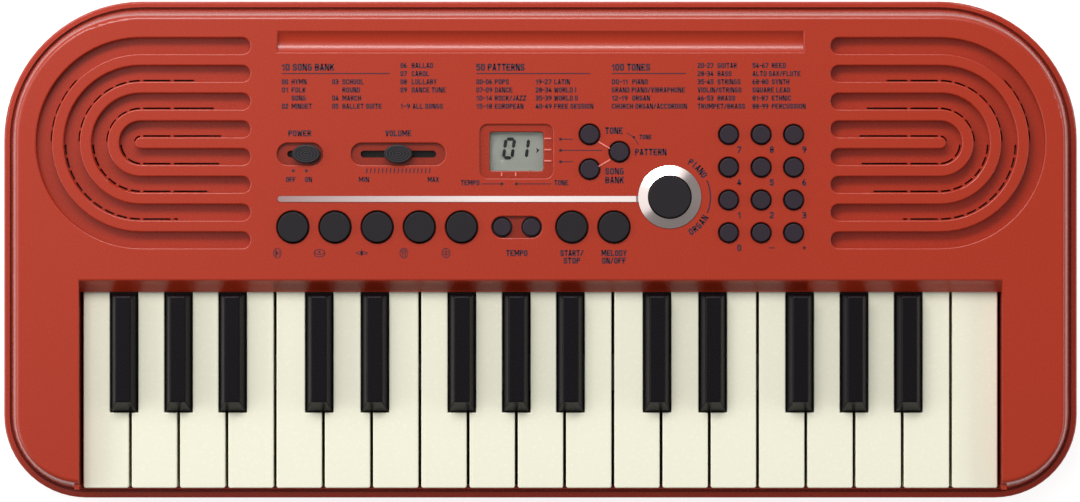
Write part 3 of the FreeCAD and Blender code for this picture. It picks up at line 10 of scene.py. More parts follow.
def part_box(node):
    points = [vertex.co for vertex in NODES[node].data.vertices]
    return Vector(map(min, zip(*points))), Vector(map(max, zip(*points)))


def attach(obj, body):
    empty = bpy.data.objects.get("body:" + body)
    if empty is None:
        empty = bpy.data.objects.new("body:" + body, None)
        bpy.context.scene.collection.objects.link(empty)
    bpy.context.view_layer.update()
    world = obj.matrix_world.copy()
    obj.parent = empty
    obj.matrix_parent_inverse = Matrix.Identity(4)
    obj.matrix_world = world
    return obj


bl_info = {
    "name": "Mini Keyboard Dressing",
    "version": (1, 0, 0),
    "blender": (4, 5, 0),
    "location": "3D View > Sidebar > Keyboard",
    "description": "Gives the packed mini-key keyboard its plastics, print, display and stage",
    "category": "Object",
}

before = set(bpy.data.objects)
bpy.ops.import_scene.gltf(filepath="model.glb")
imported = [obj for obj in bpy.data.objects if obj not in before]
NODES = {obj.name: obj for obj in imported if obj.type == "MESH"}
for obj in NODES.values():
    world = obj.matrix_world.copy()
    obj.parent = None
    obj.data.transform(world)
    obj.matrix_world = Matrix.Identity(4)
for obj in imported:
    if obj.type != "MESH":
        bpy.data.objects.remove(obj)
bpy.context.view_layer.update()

MM = 0.001
PANEL_TOP = 0.048
# Print starts a quarter of this skin below the panel's top, and ridges start the whole of it below.
PANEL_SKIN = 0.00004
INK_HEIGHT = 0.00006
# The room that holds the panel's sunk floors, which get painted shade: axis, middle and half width in
# millimetres.
SUNK_FLOORS = (("X", 0.0, 110.0), ("Y", -2.0, 77.0), ("Z", 46.0, 4.0))


# ---------------------------------------------------------------- colours and nodes


def linear(hex_code):
    """The linear colour of an sRGB hex code."""
    parts = [int(hex_code[i:i + 2], 16) / 255 for i in (0, 2, 4)]
    return tuple(p / 12.92 if p <= 0.04045 else ((p + 0.055) / 1.055) ** 2.4 for p in parts)


def colour(name, description, hex_code):
    """A colour property whose default is an sRGB hex code."""
    return bpy.props.FloatVectorProperty(
        name=name, description=description, subtype="COLOR", size=3, min=0.0, max=1.0,
        default=linear(hex_code))


def length(name, description, metres):
    """A length property in metres."""
    return bpy.props.FloatProperty(
        name=name, description=description, default=metres, min=0.0, subtype="DISTANCE",
        unit="LENGTH", precision=5)


def add(tree, kind, inputs=None, **settings):
    """Adds a node with its settings; an input is a value or another node's output."""
    node = tree.nodes.new(kind)
    for name, value in settings.items():
        setattr(node, name, value)
    for socket, value in (inputs or {}).items():
        if isinstance(value, bpy.types.NodeSocket):
            tree.links.new(value, node.inputs[socket])
        else:
            node.inputs[socket].default_value = value
    return node


def rgba(shade, gain=1.0):
    """A colour with full alpha, made lighter or darker by a gain."""
    return tuple(min(1.0, part * gain) for part in shade) + (1.0,)


def start_material(name):
    """A new material, its tree, its shader and its Object coordinates."""
    material = bpy.data.materials.new(name)
    material.use_nodes = True
    tree = material.node_tree
    shader = tree.nodes["Principled BSDF"]
    place = add(tree, "ShaderNodeTexCoord").outputs["Object"]
    return material, tree, shader, place


def moulded(name, shade, roughness, grain_mm, grain_depth_mm, ior=1.54, gloss=0.5, drift=0.06):
    """An injection-moulded plastic: a slow drift of pigment, and the spark-eroded grain of its mould."""
    material, tree, shader, place = start_material(name)
    slow = add(tree, "ShaderNodeTexNoise", {"Vector": place, "Scale": 14.0, "Detail": 2.0})
    blend = add(tree, "ShaderNodeMix", {
        "Factor": slow.outputs["Fac"],
        "A": rgba(shade, 1.0 - drift),
        "B": rgba(shade, 1.0 + drift),
    }, data_type="RGBA")
    tree.links.new(blend.outputs["Result"], shader.inputs["Base Color"])
    grain = add(tree, "ShaderNodeTexNoise", {
        "Vector": place, "Scale": 1.0 / (grain_mm * MM), "Detail": 3.0, "Roughness": 0.6})
    spread = add(tree, "ShaderNodeMapRange", {
        "Value": grain.outputs["Fac"], "From Min": 0.3, "From Max": 0.7,
        "To Min": roughness - 0.04, "To Max": roughness + 0.06})
    tree.links.new(spread.outputs["Result"], shader.inputs["Roughness"])
    bump = add(tree, "ShaderNodeBump", {
        "Height": grain.outputs["Fac"], "Strength": 0.5, "Distance": grain_depth_mm * MM})
    tree.links.new(bump.outputs["Normal"], shader.inputs["Normal"])
    shader.inputs["IOR"].default_value = ior
    shader.inputs["Specular IOR Level"].default_value = gloss
    return material


def shaded_recesses(material, deepest):
    """The same plastic in a darker colour on the panel's sunk floors, which stands in for shade."""
    tree = material.node_tree
    shader = tree.nodes["Principled BSDF"]
    surface = shader.inputs["Base Color"].links[0].from_socket
    place = add(tree, "ShaderNodeTexCoord").outputs["Object"]
    parts = add(tree, "ShaderNodeSeparateXYZ", {"Vector": place}).outputs
    first_shade = PANEL_TOP - 0.5 * MM
    full_shade = PANEL_TOP - 1.8 * MM
    share = add(tree, "ShaderNodeMapRange", {
        "Value": parts["Z"], "From Min": first_shade, "From Max": full_shade}).outputs["Result"]
    for axis, centre, half in SUNK_FLOORS:
        inside = add(tree, "ShaderNodeMath", {0: parts[axis], 1: centre * MM, 2: half * MM},
                     operation="COMPARE")
        share = add(tree, "ShaderNodeMath", {0: share, 1: inside.outputs[0]},
                    operation="MULTIPLY").outputs[0]
    # Painted shade: the sunk floors' colour is multiplied down towards the deepest factor.
    fade = add(tree, "ShaderNodeMapRange", {"Value": share, "To Min": 1.0, "To Max": deepest})
    tone = add(tree, "ShaderNodeVectorMath", {0: surface, 1: fade.outputs["Result"]},
               operation="MULTIPLY")
    tree.links.new(tone.outputs["Vector"], shader.inputs["Base Color"])
    return material


def matt_sided(material, gloss, side_gloss):
    """The same plastic with another gloss on the faces that look left or right."""
    tree = material.node_tree
    facing = add(tree, "ShaderNodeNewGeometry").outputs["Normal"]
    across = add(tree, "ShaderNodeSeparateXYZ", {"Vector": facing}).outputs["X"]
    steep = add(tree, "ShaderNodeMath", {0: across}, operation="ABSOLUTE")
    level = add(tree, "ShaderNodeMapRange", {
        "Value": steep.outputs[0], "From Min": 0.5, "From Max": 0.75,
        "To Min": gloss, "To Max": side_gloss})
    shader = tree.nodes["Principled BSDF"]
    tree.links.new(level.outputs["Result"], shader.inputs["Specular IOR Level"])
    return material


def brushed_metal(name, shade, roughness, stretch):
    """A drawn or brushed metal: fine lines along one axis."""
    material, tree, shader, place = start_material(name)
    turned = add(tree, "ShaderNodeMapping", {"Vector": place, "Scale": stretch})
    lines = add(tree, "ShaderNodeTexNoise", {
        "Vector": turned.outputs["Vector"], "Scale": 900.0, "Detail": 2.0})
    tone = add(tree, "ShaderNodeMix", {
        "Factor": lines.outputs["Fac"], "A": rgba(shade, 0.9), "B": rgba(shade, 1.08),
    }, data_type="RGBA")
    tree.links.new(tone.outputs["Result"], shader.inputs["Base Color"])
    bump = add(tree, "ShaderNodeBump", {
        "Height": lines.outputs["Fac"], "Strength": 0.3, "Distance": 0.01 * MM})
    tree.links.new(bump.outputs["Normal"], shader.inputs["Normal"])
    shader.inputs["Metallic"].default_value = 1.0
    shader.inputs["Roughness"].default_value = roughness
    return material


def ink(name, shade):
    """Screen-printed ink: matt, a little uneven where the mesh left it thin."""
    material, tree, shader, place = start_material(name)
    mesh_marks = add(tree, "ShaderNodeTexNoise", {"Vector": place, "Scale": 1800.0, "Detail": 1.0})
    tone = add(tree, "ShaderNodeMix", {
        "Factor": mesh_marks.outputs["Fac"], "A": rgba(shade, 0.75), "B": rgba(shade, 1.3),
    }, data_type="RGBA")
    tree.links.new(tone.outputs["Result"], shader.inputs["Base Color"])
    shader.inputs["Roughness"].default_value = 0.62
    return material


def silvered_trim(name, shade, ring):
    """White lacquer along the line, dimmed towards its left end by painted shade; the ring has a satin
    vacuum-metal finish.
    """
    ring_edge = 14.0 * MM
    line_left, line_bright = -0.112, -0.02
    # Painted shade: the line's colour fades to this dull pink at its left end.
    painted_shade_end = (0.34, 0.21, 0.21, 1.0)
    material, tree, shader, place = start_material(name)
    away = add(tree, "ShaderNodeVectorMath", {0: place, 1: ring}, operation="DISTANCE")
    metal = add(tree, "ShaderNodeMapRange", {
        "Value": away.outputs["Value"], "From Min": ring_edge, "From Max": ring_edge - 0.2 * MM,
        "To Min": 0.0, "To Max": 0.92})
    tree.links.new(metal.outputs["Result"], shader.inputs["Metallic"])
    along = add(tree, "ShaderNodeSeparateXYZ", {"Vector": place})
    fade = add(tree, "ShaderNodeMapRange", {
        "Value": along.outputs["X"], "From Min": line_left, "From Max": line_bright})
    tone = add(tree, "ShaderNodeMix", {
        "Factor": fade.outputs["Result"], "A": painted_shade_end, "B": rgba(shade),
    }, data_type="RGBA")
    tree.links.new(tone.outputs["Result"], shader.inputs["Base Color"])
    haze = add(tree, "ShaderNodeTexNoise", {"Vector": place, "Scale": 60.0, "Detail": 3.0})
    spread = add(tree, "ShaderNodeMapRange", {
        "Value": haze.outputs["Fac"], "To Min": 0.16, "To Max": 0.22})
    tree.links.new(spread.outputs["Result"], shader.inputs["Roughness"])
    return material


def clear_window(name):
    """A clear acrylic window: smooth and hard, with hairline scratches."""
    material, tree, shader, place = start_material(name)
    stretched = add(tree, "ShaderNodeMapping", {"Vector": place, "Scale": (40.0, 900.0, 40.0)})
    scratches = add(tree, "ShaderNodeTexNoise", {
        "Vector": stretched.outputs["Vector"], "Scale": 2.0, "Detail": 2.0})
    bump = add(tree, "ShaderNodeBump", {
        "Height": scratches.outputs["Fac"], "Strength": 0.05, "Distance": 0.002 * MM})
    tree.links.new(bump.outputs["Normal"], shader.inputs["Normal"])
    shader.inputs["Base Color"].default_value = (0.97, 0.98, 0.97, 1.0)
    shader.inputs["Transmission Weight"].default_value = 1.0
    shader.inputs["Roughness"].default_value = 0.03
    shader.inputs["IOR"].default_value = 1.49
    return material


def liquid_crystal(name, shade):
    """The reflective polariser of a segment display: grey-green with a satin grain."""
    material, tree, shader, place = start_material(name)
    fine = add(tree, "ShaderNodeTexNoise", {"Vector": place, "Scale": 2600.0, "Detail": 1.0})
    tone = add(tree, "ShaderNodeMix", {
        "Factor": fine.outputs["Fac"], "A": rgba(shade, 0.93), "B": rgba(shade, 1.07),
    }, data_type="RGBA")
    tree.links.new(tone.outputs["Result"], shader.inputs["Base Color"])
    shader.inputs["Roughness"].default_value = 0.35
    return material


def circuit_board(name, shade):
    """Dark brown phenolic paper board, its darkness partly painted shade: tracks show as faint lines
    under its lacquer.
    """
    material, tree, shader, place = start_material(name)
    tracks = add(tree, "ShaderNodeTexBrick", {
        "Vector": place, "Scale": 160.0, "Mortar Size": 0.035,
        "Color1": rgba(shade), "Color2": rgba(shade, 0.85), "Mortar": rgba(shade, 1.7)})
    tree.links.new(tracks.outputs["Color"], shader.inputs["Base Color"])
    bump = add(tree, "ShaderNodeBump", {
        "Height": tracks.outputs["Fac"], "Strength": 0.3, "Distance": 0.03 * MM})
    tree.links.new(bump.outputs["Normal"], shader.inputs["Normal"])
    shader.inputs["Roughness"].default_value = 0.3
    return material


# ---------------------------------------------------------------- meshes


def finish_piece(name, mesh, material, body):
    """Puts a mesh in the scene as one piece that rides on a body."""
    shape = bmesh.new()
    shape.from_mesh(mesh)
    bmesh.ops.remove_doubles(shape, verts=shape.verts, dist=1e-7)
    bmesh.ops.recalc_face_normals(shape, faces=shape.faces)
    shape.to_mesh(mesh)
    shape.free()
    mesh.materials.clear()
    mesh.materials.append(material)
    piece = bpy.data.objects.new(name, mesh)
    bpy.context.scene.collection.objects.link(piece)
    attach(piece, body)
    return piece


def prism(shape, outline, low, high):
    """Adds a closed upright prism over an outline of (x, y) points in metres."""
    bottom = [shape.verts.new((x, y, low)) for x, y in outline]
    top = [shape.verts.new((x, y, high)) for x, y in outline]
    shape.faces.new(list(reversed(bottom)))
    shape.faces.new(top)
    for i in range(len(outline)):
        j = (i + 1) % len(outline)
        shape.faces.new((bottom[i], bottom[j], top[j], top[i]))


def oval_outline(x, y, half_x, half_y, sides):
    """Points round an oval."""
    turns = [2 * math.pi * i / sides for i in range(sides)]
    return [(x + half_x * math.cos(t), y + half_y * math.sin(t)) for t in turns]


def ribbon(shape, points, width, low, high, closed=False):
    """Adds a closed solid that follows points (x, y) with mitred corners."""
    points = [Vector(point) for point in points]
    count = len(points)
    sections = []
    for i, point in enumerate(points):
        arrive = point - points[i - 1] if closed or i else None
        leave = points[(i + 1) % count] - point if closed or i < count - 1 else None
        first = (arrive or leave).normalized()
        second = (leave or arrive).normalized()
        mitre = (first + second).normalized() if (first + second).length > 1e-6 else first
        side = Vector((-mitre.y, mitre.x))
        reach = width / 2 * min(1.5, 1 / max(0.1, mitre.dot(first)))
        left = point + side * reach
        right = point - side * reach
        sections.append([shape.verts.new((spot.x, spot.y, level)) for spot, level in (
            (left, low), (right, low), (right, high), (left, high))])
    for i in range(count if closed else count - 1):
        here, there = sections[i], sections[(i + 1) % count]
        for k in range(4):
            m = (k + 1) % 4
            shape.faces.new((here[k], here[m], there[m], there[k]))
    if not closed:
        shape.faces.new(sections[0])
        shape.faces.new(list(reversed(sections[-1])))


# Strokes of each sign on a grid 8 high: a pair of digits is a point, a slash parts two strokes
# and a star closes a stroke.
SIGNS = {
    "A": "00 28/28 40/12 32", "B": "00 08 38 47 45 34 43 41 30*/04 34",
    "C": "47 38 18 07 01 10 30 41", "D": "00 08 38 47 41 30*", "E": "40 00 08 48/04 34",
    "F": "00 08 48/04 34", "G": "38 18 07 01 10 30 41 44 34", "H": "00 08/40 48/04 44",
    "I": "00 08", "J": "01 10 20 31 38", "K": "00 08/48 03/25 40", "L": "08 00 40",
    "M": "00 08/08 33/33 68/68 60", "N": "00 08/08 40/40 48", "O": "10 01 07 18 38 47 41 30*",
    "P": "00 08 38 47 45 34 04", "Q": "10 01 07 18 38 47 41 30*/23 40",
    "R": "00 08 38 47 45 34 04/24 40", "S": "47 38 18 07 05 14 34 43 41 30 10 01",
    "T": "20 28/08 48", "U": "08 01 10 30 41 48", "V": "08 20/20 48",
    "W": "08 10/10 36/36 50/50 68",
    "X": "00 48/08 40", "Y": "08 24 48/24 20", "Z": "08 48/48 00/00 40",
    "0": "10 01 07 18 38 47 41 30*", "1": "06 28 20", "2": "07 18 38 47 45 01 00 40",
    "3": "08 38 47 45 34 43 41 30 00/14 34", "4": "28 02/02 42/35 30",
    "5": "48 08 05 35 44 41 30 10 01", "6": "04 34 43 41 30 10 01 04 28",
    "7": "08 48 46 10", "8": "14 05 07 18 38 47 45 34 43 41 30 10 01 03*/14 34",
    "9": "44 14 05 07 18 38 47 44 20", "-": "04 24", "/": "00 38",
}
SIGN_TALL = 8
SPACE_WIDE = 2.2


def strokes(sign):
    """The strokes of a sign: each a list of points and whether it is closed."""
    made = []
    for stroke in SIGNS[sign].split("/"):
        closed = stroke.endswith("*")
        made.append(([(int(pair[0]), int(pair[1])) for pair in stroke.strip("*").split()], closed))
    return made


class Lettering:
    """Gathers words, lines and dots of one printed block as closed thin solids."""

    def __init__(self, sizes, low=PANEL_TOP - PANEL_SKIN / 4, high=PANEL_TOP + INK_HEIGHT):
        self.shape = bmesh.new()
        self.sizes = sizes
        self.low = low
        self.high = high

    def words(self, words, x, y, height, align="CENTER", width=None, turn=0.0):
        """Adds capitals and figures: x, y is the middle of their height at the aligned end."""
        weight = self.sizes.weight
        gap = self.sizes.letter_gap
        cursor = weight / 2
        spots = []
        for sign in words:
            if sign == " ":
                cursor += SPACE_WIDE + gap
                continue
            spots.append((sign, cursor))
            wide = max(px for points, _ in strokes(sign) for px, _ in points)
            cursor += wide + weight + gap
        total = cursor - gap - weight / 2
        unit = height / (SIGN_TALL + weight)
        across = width / total if width else unit * self.sizes.spread
        shift = {"LEFT": 0.0, "RIGHT": total, "CENTER": total / 2}[align]
        place = Matrix.Translation((x, y, 0)) @ Matrix.Rotation(turn, 4, "Z")
        for sign, start in spots:
            for points, closed in strokes(sign):
                line = [place @ Vector(((start + px - shift) * across,
                                        (py - SIGN_TALL / 2) * unit, 0)) for px, py in points]
                if not closed:
                    line = self.longer([spot.xy for spot in line], weight * unit / 2)
                ribbon(self.shape, [spot.xy for spot in line], weight * unit, self.low,
                       self.high, closed)

    def longer(self, line, reach):
        """A line with both its ends moved out, so that strokes have square ends."""
        line = list(line)
        line[0] = line[0] + (line[0] - line[1]).normalized() * reach
        line[-1] = line[-1] + (line[-1] - line[-2]).normalized() * reach
        return line

    def line(self, x1, y1, x2, y2, width):
        """Adds a straight line."""
        ribbon(self.shape, [(x1, y1), (x2, y2)], width, self.low, self.high)

    def dot(self, x, y, radius):
        """Adds a round dot."""
        prism(self.shape, oval_outline(x, y, radius, radius, 20), self.low, self.high)

    def loop(self, x, y, radii, width):
        """Adds an oval line."""
        outline = oval_outline(x, y, *radii, 40)
        ribbon(self.shape, outline, width, self.low, self.high, closed=True)

    def arc(self, x, y, radii, width, start, end):
        """Adds a part of an oval line, from one angle to another in degrees."""
        turns = [math.radians(start + (end - start) * i / 16) for i in range(17)]
        outline = [(x + radii[0] * math.cos(t), y + radii[1] * math.sin(t)) for t in turns]
        ribbon(self.shape, outline, width, self.low, self.high)

    def curved(self, words, centre, radius, start, end, height, inward):
        """Adds words round an arc, from one angle to another in degrees."""
        for i, letter in enumerate(words):
            angle = math.radians(start + (end - start) * i / (len(words) - 1))
            x = centre[0] + radius * math.cos(angle)
            y = centre[1] + radius * math.sin(angle)
            turn = angle + math.pi / 2 if inward else angle - math.pi / 2
            self.words(letter, x, y, height, turn=turn)

    def piece(self, name, material, body="case", slot=None):
        """Ends the block as one piece."""
        mesh = bpy.data.meshes.new(name)
        self.shape.to_mesh(mesh)
        self.shape.free()
        return finish_piece(name, mesh, material, body)


def bar_row_tree():
    """A node tree that repeats a bar along a line, for ticks and ribs."""
    tree = bpy.data.node_groups.new("bar_row", "GeometryNodeTree")
    sockets = tree.interface
    sockets.new_socket("Geometry", in_out="OUTPUT", socket_type="NodeSocketGeometry")
    sockets.new_socket("Count", in_out="INPUT", socket_type="NodeSocketInt")
    sockets.new_socket("First", in_out="INPUT", socket_type="NodeSocketVector")
    sockets.new_socket("Step", in_out="INPUT", socket_type="NodeSocketVector")
    sockets.new_socket("Size", in_out="INPUT", socket_type="NodeSocketVector")
    sockets.new_socket("Turn", in_out="INPUT", socket_type="NodeSocketVector")
    sockets.new_socket("Material", in_out="INPUT", socket_type="NodeSocketMaterial")
    given = add(tree, "NodeGroupInput").outputs
    line = add(tree, "GeometryNodeMeshLine", {
        "Count": given["Count"], "Start Location": given["First"], "Offset": given["Step"]})
    bar = add(tree, "GeometryNodeMeshCube", {"Size": given["Size"]})
    copies = add(tree, "GeometryNodeInstanceOnPoints", {
        "Points": line.outputs["Mesh"], "Instance": bar.outputs["Mesh"],
        "Rotation": given["Turn"]})
    real = add(tree, "GeometryNodeRealizeInstances", {"Geometry": copies.outputs["Instances"]})
    painted = add(tree, "GeometryNodeSetMaterial", {
        "Geometry": real.outputs["Geometry"], "Material": given["Material"]})
    add(tree, "NodeGroupOutput", {"Geometry": painted.outputs["Geometry"]})
    return tree


def grown(name, tree, material, body, slot=None, base=None, **values):
    """Runs a node tree with its inputs set, and keeps the result as one plain piece."""
    mesh = base or bpy.data.meshes.new(f"{name}_base")
    holder = bpy.data.objects.new(f"{name}_holder", mesh)
    bpy.context.scene.collection.objects.link(holder)
    modifier = holder.modifiers.new("grow", "NODES")
    modifier.node_group = tree
    inputs = {item.name: item.identifier for item in tree.interface.items_tree
              if item.item_type == "SOCKET" and item.in_out == "INPUT"}
    for key, value in values.items():
        modifier[inputs[key]] = value
    modifier[inputs["Material"]] = material
    bpy.context.view_layer.update()
    seen = holder.evaluated_get(bpy.context.evaluated_depsgraph_get())
    plain = bpy.data.meshes.new_from_object(seen)
    plain.name = name
    bpy.data.objects.remove(holder)
    return finish_piece(name, plain, material, body)


def middle(node):
    """The middle of a node's box, as x and y."""
    low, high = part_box(node)
    return (low.x + high.x) / 2, (low.y + high.y) / 2


# ---------------------------------------------------------------- what a user may change


class KeyboardPlastics(bpy.types.PropertyGroup):
    """Colours of the moulded pieces."""

    case: colour("Case", "ABS of both case halves and the battery cover", "AB3119")
    white_keys: colour("White keys", "Ivory ABS of the white keys", "F4F2DC")
    black_keys: colour("Black keys", "Black ABS of the black keys", "141015")
    buttons: colour("Buttons", "Dark rubber-soft caps of the push buttons", "221F23")
    number_caps: colour("Number caps", "Caps of the number and mode buttons", "2C232D")
    knobs: colour("Knobs", "Black knobs of the slide switches", "1E1D21")
    trim: colour("Trim", "Ring and line on the panel", "F2E2DE")
    display: colour("Display", "Reflective ground of the display", "C6C8BE")
    print_ink: colour("Print", "Ink of the words and lines on the panel", "22102A")


class KeyboardPrint(bpy.types.PropertyGroup):
    """Sizes of the lettering on the panel."""

    heading: length("Heading", "Height of a heading's capitals", 2.9 * MM)
    label: length("Label", "Height of the capitals beside buttons", 2.75 * MM)
    switch_label: length("Switch label", "Height of the words over the slide switches", 2.5 * MM)
    small: length("Small", "Height of the capitals in the lists", 2.15 * MM)
    row_pitch: length("Row pitch", "Distance from one list row to the next", 3.35 * MM)
    digit_width: length("Digit width", "Room of one figure in the lists' numbers", 1.31 * MM)
    line_width: length("Line width", "Width of the printed lines", 0.4 * MM)
    weight: bpy.props.FloatProperty(
        name="Weight", description="Width of a letter's strokes in eighths of its height",
        default=2.2, min=0.5, max=3.0)
    letter_gap: bpy.props.FloatProperty(
        name="Letter gap", description="Space between letters in eighths of their height",
        default=1.0, min=0.0, max=4.0)
    spread: bpy.props.FloatProperty(
        name="Spread", description="Width of the letters as a share of their drawn width",
        default=0.99, min=0.3, max=2.0)


class KeyboardStage(bpy.types.PropertyGroup):
    """Camera and light."""

    camera_height: length("Camera height", "Height of the camera over the floor", 2.3)
    view_width: length("View width", "Width of the view at the height of the case's rim", 0.44974)
    rim_height: length("Rim height", "Height at which the view has that width", 0.020)
    key_power: bpy.props.FloatProperty(
        name="Key light", description="Power of the large light behind the keyboard",
        default=6.0, min=0.0, unit="POWER")
    side_power: bpy.props.FloatProperty(
        name="Side lights", description="Power of each of the two low side lights",
        default=2.2, min=0.0, unit="POWER")
    sky_bright: bpy.props.FloatProperty(
        name="Bright sky", description="Strength of the light from behind and the left",
        default=1.05, min=0.0)
    sky_dark: bpy.props.FloatProperty(
        name="Dark sky", description="Strength of the light from the front and the right",
        default=0.18, min=0.0)


# ---------------------------------------------------------------- materials by piece


def finish_nodes(names, material):
    """Gives CAD nodes their material."""
    for name in names:
        mesh = NODES[name].data
        mesh.materials.clear()
        mesh.materials.append(material)


def known(name, make):
    """A material by its name, made on first use."""
    return bpy.data.materials.get(name) or make(name)


def case_plastic():
    """Spark-grained red ABS: satin, and darker on the panel's sunk floors as painted shade."""
    shade = bpy.context.scene.keyboard_plastics.case
    return known("red_abs_spark_grained_painted_shade", lambda name: shaded_recesses(moulded(
        name, shade, roughness=0.24, grain_mm=0.35, grain_depth_mm=0.005, gloss=0.52,
        drift=0.03), 0.6))


def knob_plastic():
    """Black ABS with a fine matt grain."""
    shade = bpy.context.scene.keyboard_plastics.knobs
    return known("black_abs_matt", lambda name: moulded(
        name, shade, roughness=0.4, grain_mm=0.3, grain_depth_mm=0.02, gloss=0.3))


def painted_highlight_plastic():
    """The thin red ridges and ribs, coloured pale pink as a painted highlight of their lit edges."""
    return known("red_abs_ridges_painted_highlight", lambda name: ink(name, linear("EE7C6E")))


def print_ink():
    """The dark plum ink of the panel."""
    shade = bpy.context.scene.keyboard_plastics.print_ink
    return known("screen_ink_plum", lambda name: ink(name, shade))


class KEYBOARD_OT_case(bpy.types.Operator):
    """Finish the case halves, the battery cover, the feet and the steel pieces"""

    bl_idname = "keyboard.case"
    bl_label = "Case"

    def execute(self, context):
        finish_nodes(("upper_case", "lower_case", "battery_cover"), case_plastic())
        feet = moulded("black_rubber_feet", linear("1B1B1C"), 0.75, 0.5, 0.04, ior=1.5)
        finish_nodes(("rubber_feet",), feet)
        zinc = brushed_metal("zinc_plated_steel", linear("B9BCC0"), 0.34, (1.0, 1.0, 6.0))
        finish_nodes(("screws", "battery_contacts", "key_hinge_rod"), zinc)
        return {"FINISHED"}


class KEYBOARD_OT_keys(bpy.types.Operator):
    """Finish the keys and their chassis"""

    bl_idname = "keyboard.keys"
    bl_label = "Keys"

    def execute(self, context):
        shades = context.scene.keyboard_plastics
        ivory = moulded("ivory_abs_polished", shades.white_keys, 0.24, 1.5, 0.004, gloss=0.4,
                        drift=0.012)
        key_gloss = 0.16
        black = matt_sided(moulded("black_abs_satin", shades.black_keys, 0.26, 0.5, 0.004,
                                   gloss=key_gloss), key_gloss, side_gloss=0.02)
        finish_nodes([name for name in NODES if name.startswith("white_key")], ivory)
        finish_nodes([name for name in NODES if name.startswith("black_key")], black)
        chassis = moulded("grey_polystyrene", linear("4A4A4C"), 0.5, 0.6, 0.03)
        finish_nodes(("key_chassis",), chassis)
        return {"FINISHED"}


class KEYBOARD_OT_controls(bpy.types.Operator):
    """Finish the buttons, the knobs, the jacks and the panel trim"""

    bl_idname = "keyboard.controls"
    bl_label = "Buttons, knobs and trim"

    def execute(self, context):
        shades = context.scene.keyboard_plastics
        soft = moulded("soft_caps_matt", shades.buttons, 0.42, 0.4, 0.02, gloss=0.22)
        hard = moulded("grey_caps_matt", shades.number_caps, 0.42, 0.4, 0.02, gloss=0.25)
        finish_nodes(("drum_pads", "start_stop_button", "melody_button", "large_button"), soft)
        finish_nodes(("number_buttons", "mode_buttons", "tempo_down_button", "tempo_up_button"),
                     hard)
        finish_nodes(("power_knob", "volume_knob", "power_jack", "phones_jack"), knob_plastic())
        ring = (*middle("large_button"), PANEL_TOP)
        finish_nodes(("panel_trim",), silvered_trim("silvered_white_lacquer", shades.trim, ring))
        return {"FINISHED"}


class KEYBOARD_OT_electronics(bpy.types.Operator):
    """Finish the boards, rubbers, loudspeakers and the display"""

    bl_idname = "keyboard.electronics"
    bl_label = "Electronics"

    def execute(self, context):
        shades = context.scene.keyboard_plastics
        # The boards' dark brown is partly their own colour and partly painted shade, so that the switch
        # slots look black.
        finish_nodes(("main_board", "key_contact_board"),
                     circuit_board("phenolic_board_painted_shade", linear("1E120D")))
        silicone = moulded("grey_silicone_rubber", linear("8E9092"), 0.6, 0.4, 0.01, ior=1.41)
        finish_nodes(("key_contact_rubber", "button_contact_rubber"), silicone)
        paper = moulded("black_paper_cone", linear("17171A"), 0.8, 0.8, 0.08)
        finish_nodes(("speakers",), paper)
        finish_nodes(("display_module",), liquid_crystal("reflective_polariser", shades.display))
        finish_nodes(("display_window",), clear_window("clear_acrylic"))
        return {"FINISHED"}


# ---------------------------------------------------------------- pieces


SONGS_LEFT = ("00 HYMN", "01 FOLK", " SONG", "02 MINUET")
SONGS_RIGHT = ("03 SCHOOL", " ROUND", "04 MARCH", "05 BALLET SUITE")
SONGS_MORE = ("06 BALLAD", "07 CAROL", "08 LULLABY", "09 DANCE TUNE", "", "1-9 ALL SONGS")
STYLES_LEFT = ("00-06 POPS", "07-09 DANCE", "10-14 ROCK/JAZZ", "15-18 EUROPEAN")
STYLES_RIGHT = ("19-27 LATIN", "28-34 WORLD I", "35-39 WORLD II", "40-49 FREE SESSION")
TONES_LEFT = ("00-11 PIANO", "GRAND PIANO/VIBRAPHONE", "12-19 ORGAN", "CHURCH ORGAN/ACCORDION")
TONES_MIDDLE = ("20-27 GUITAR", "28-34 BASS", "35-45 STRINGS", "VIOLIN/STRINGS", "46-53 BRASS",
                "TRUMPET/BRASS")
TONES_RIGHT = ("54-67 REED", "ALTO SAX/FLUTE", "68-80 SYNTH", "SQUARE LEAD", "81-87 ETHNIC",
               "88-99 PERCUSSION")
HEADING_Y = 75.0 * MM
LIST_TOP_Y = 69.0 * MM


def print_list(block, rows, x, shift, top_y):
    """Prints a column of rows; a row's words stand clear of the number or space before them."""
    sizes = block.sizes
    for i, row in enumerate(rows):
        y = top_y - i * sizes.row_pitch
        number, _, words = row.partition(" ")
        if number[:1].isdigit() or not number:
            room = len(number) * sizes.digit_width
            block.words(number, x, y, sizes.small, "LEFT", room)
            clear = max(shift, room + 0.8 * sizes.digit_width)
            block.words(words, x + clear, y, sizes.small, "LEFT")
        else:
            block.words(row, x, y, sizes.small, "LEFT")


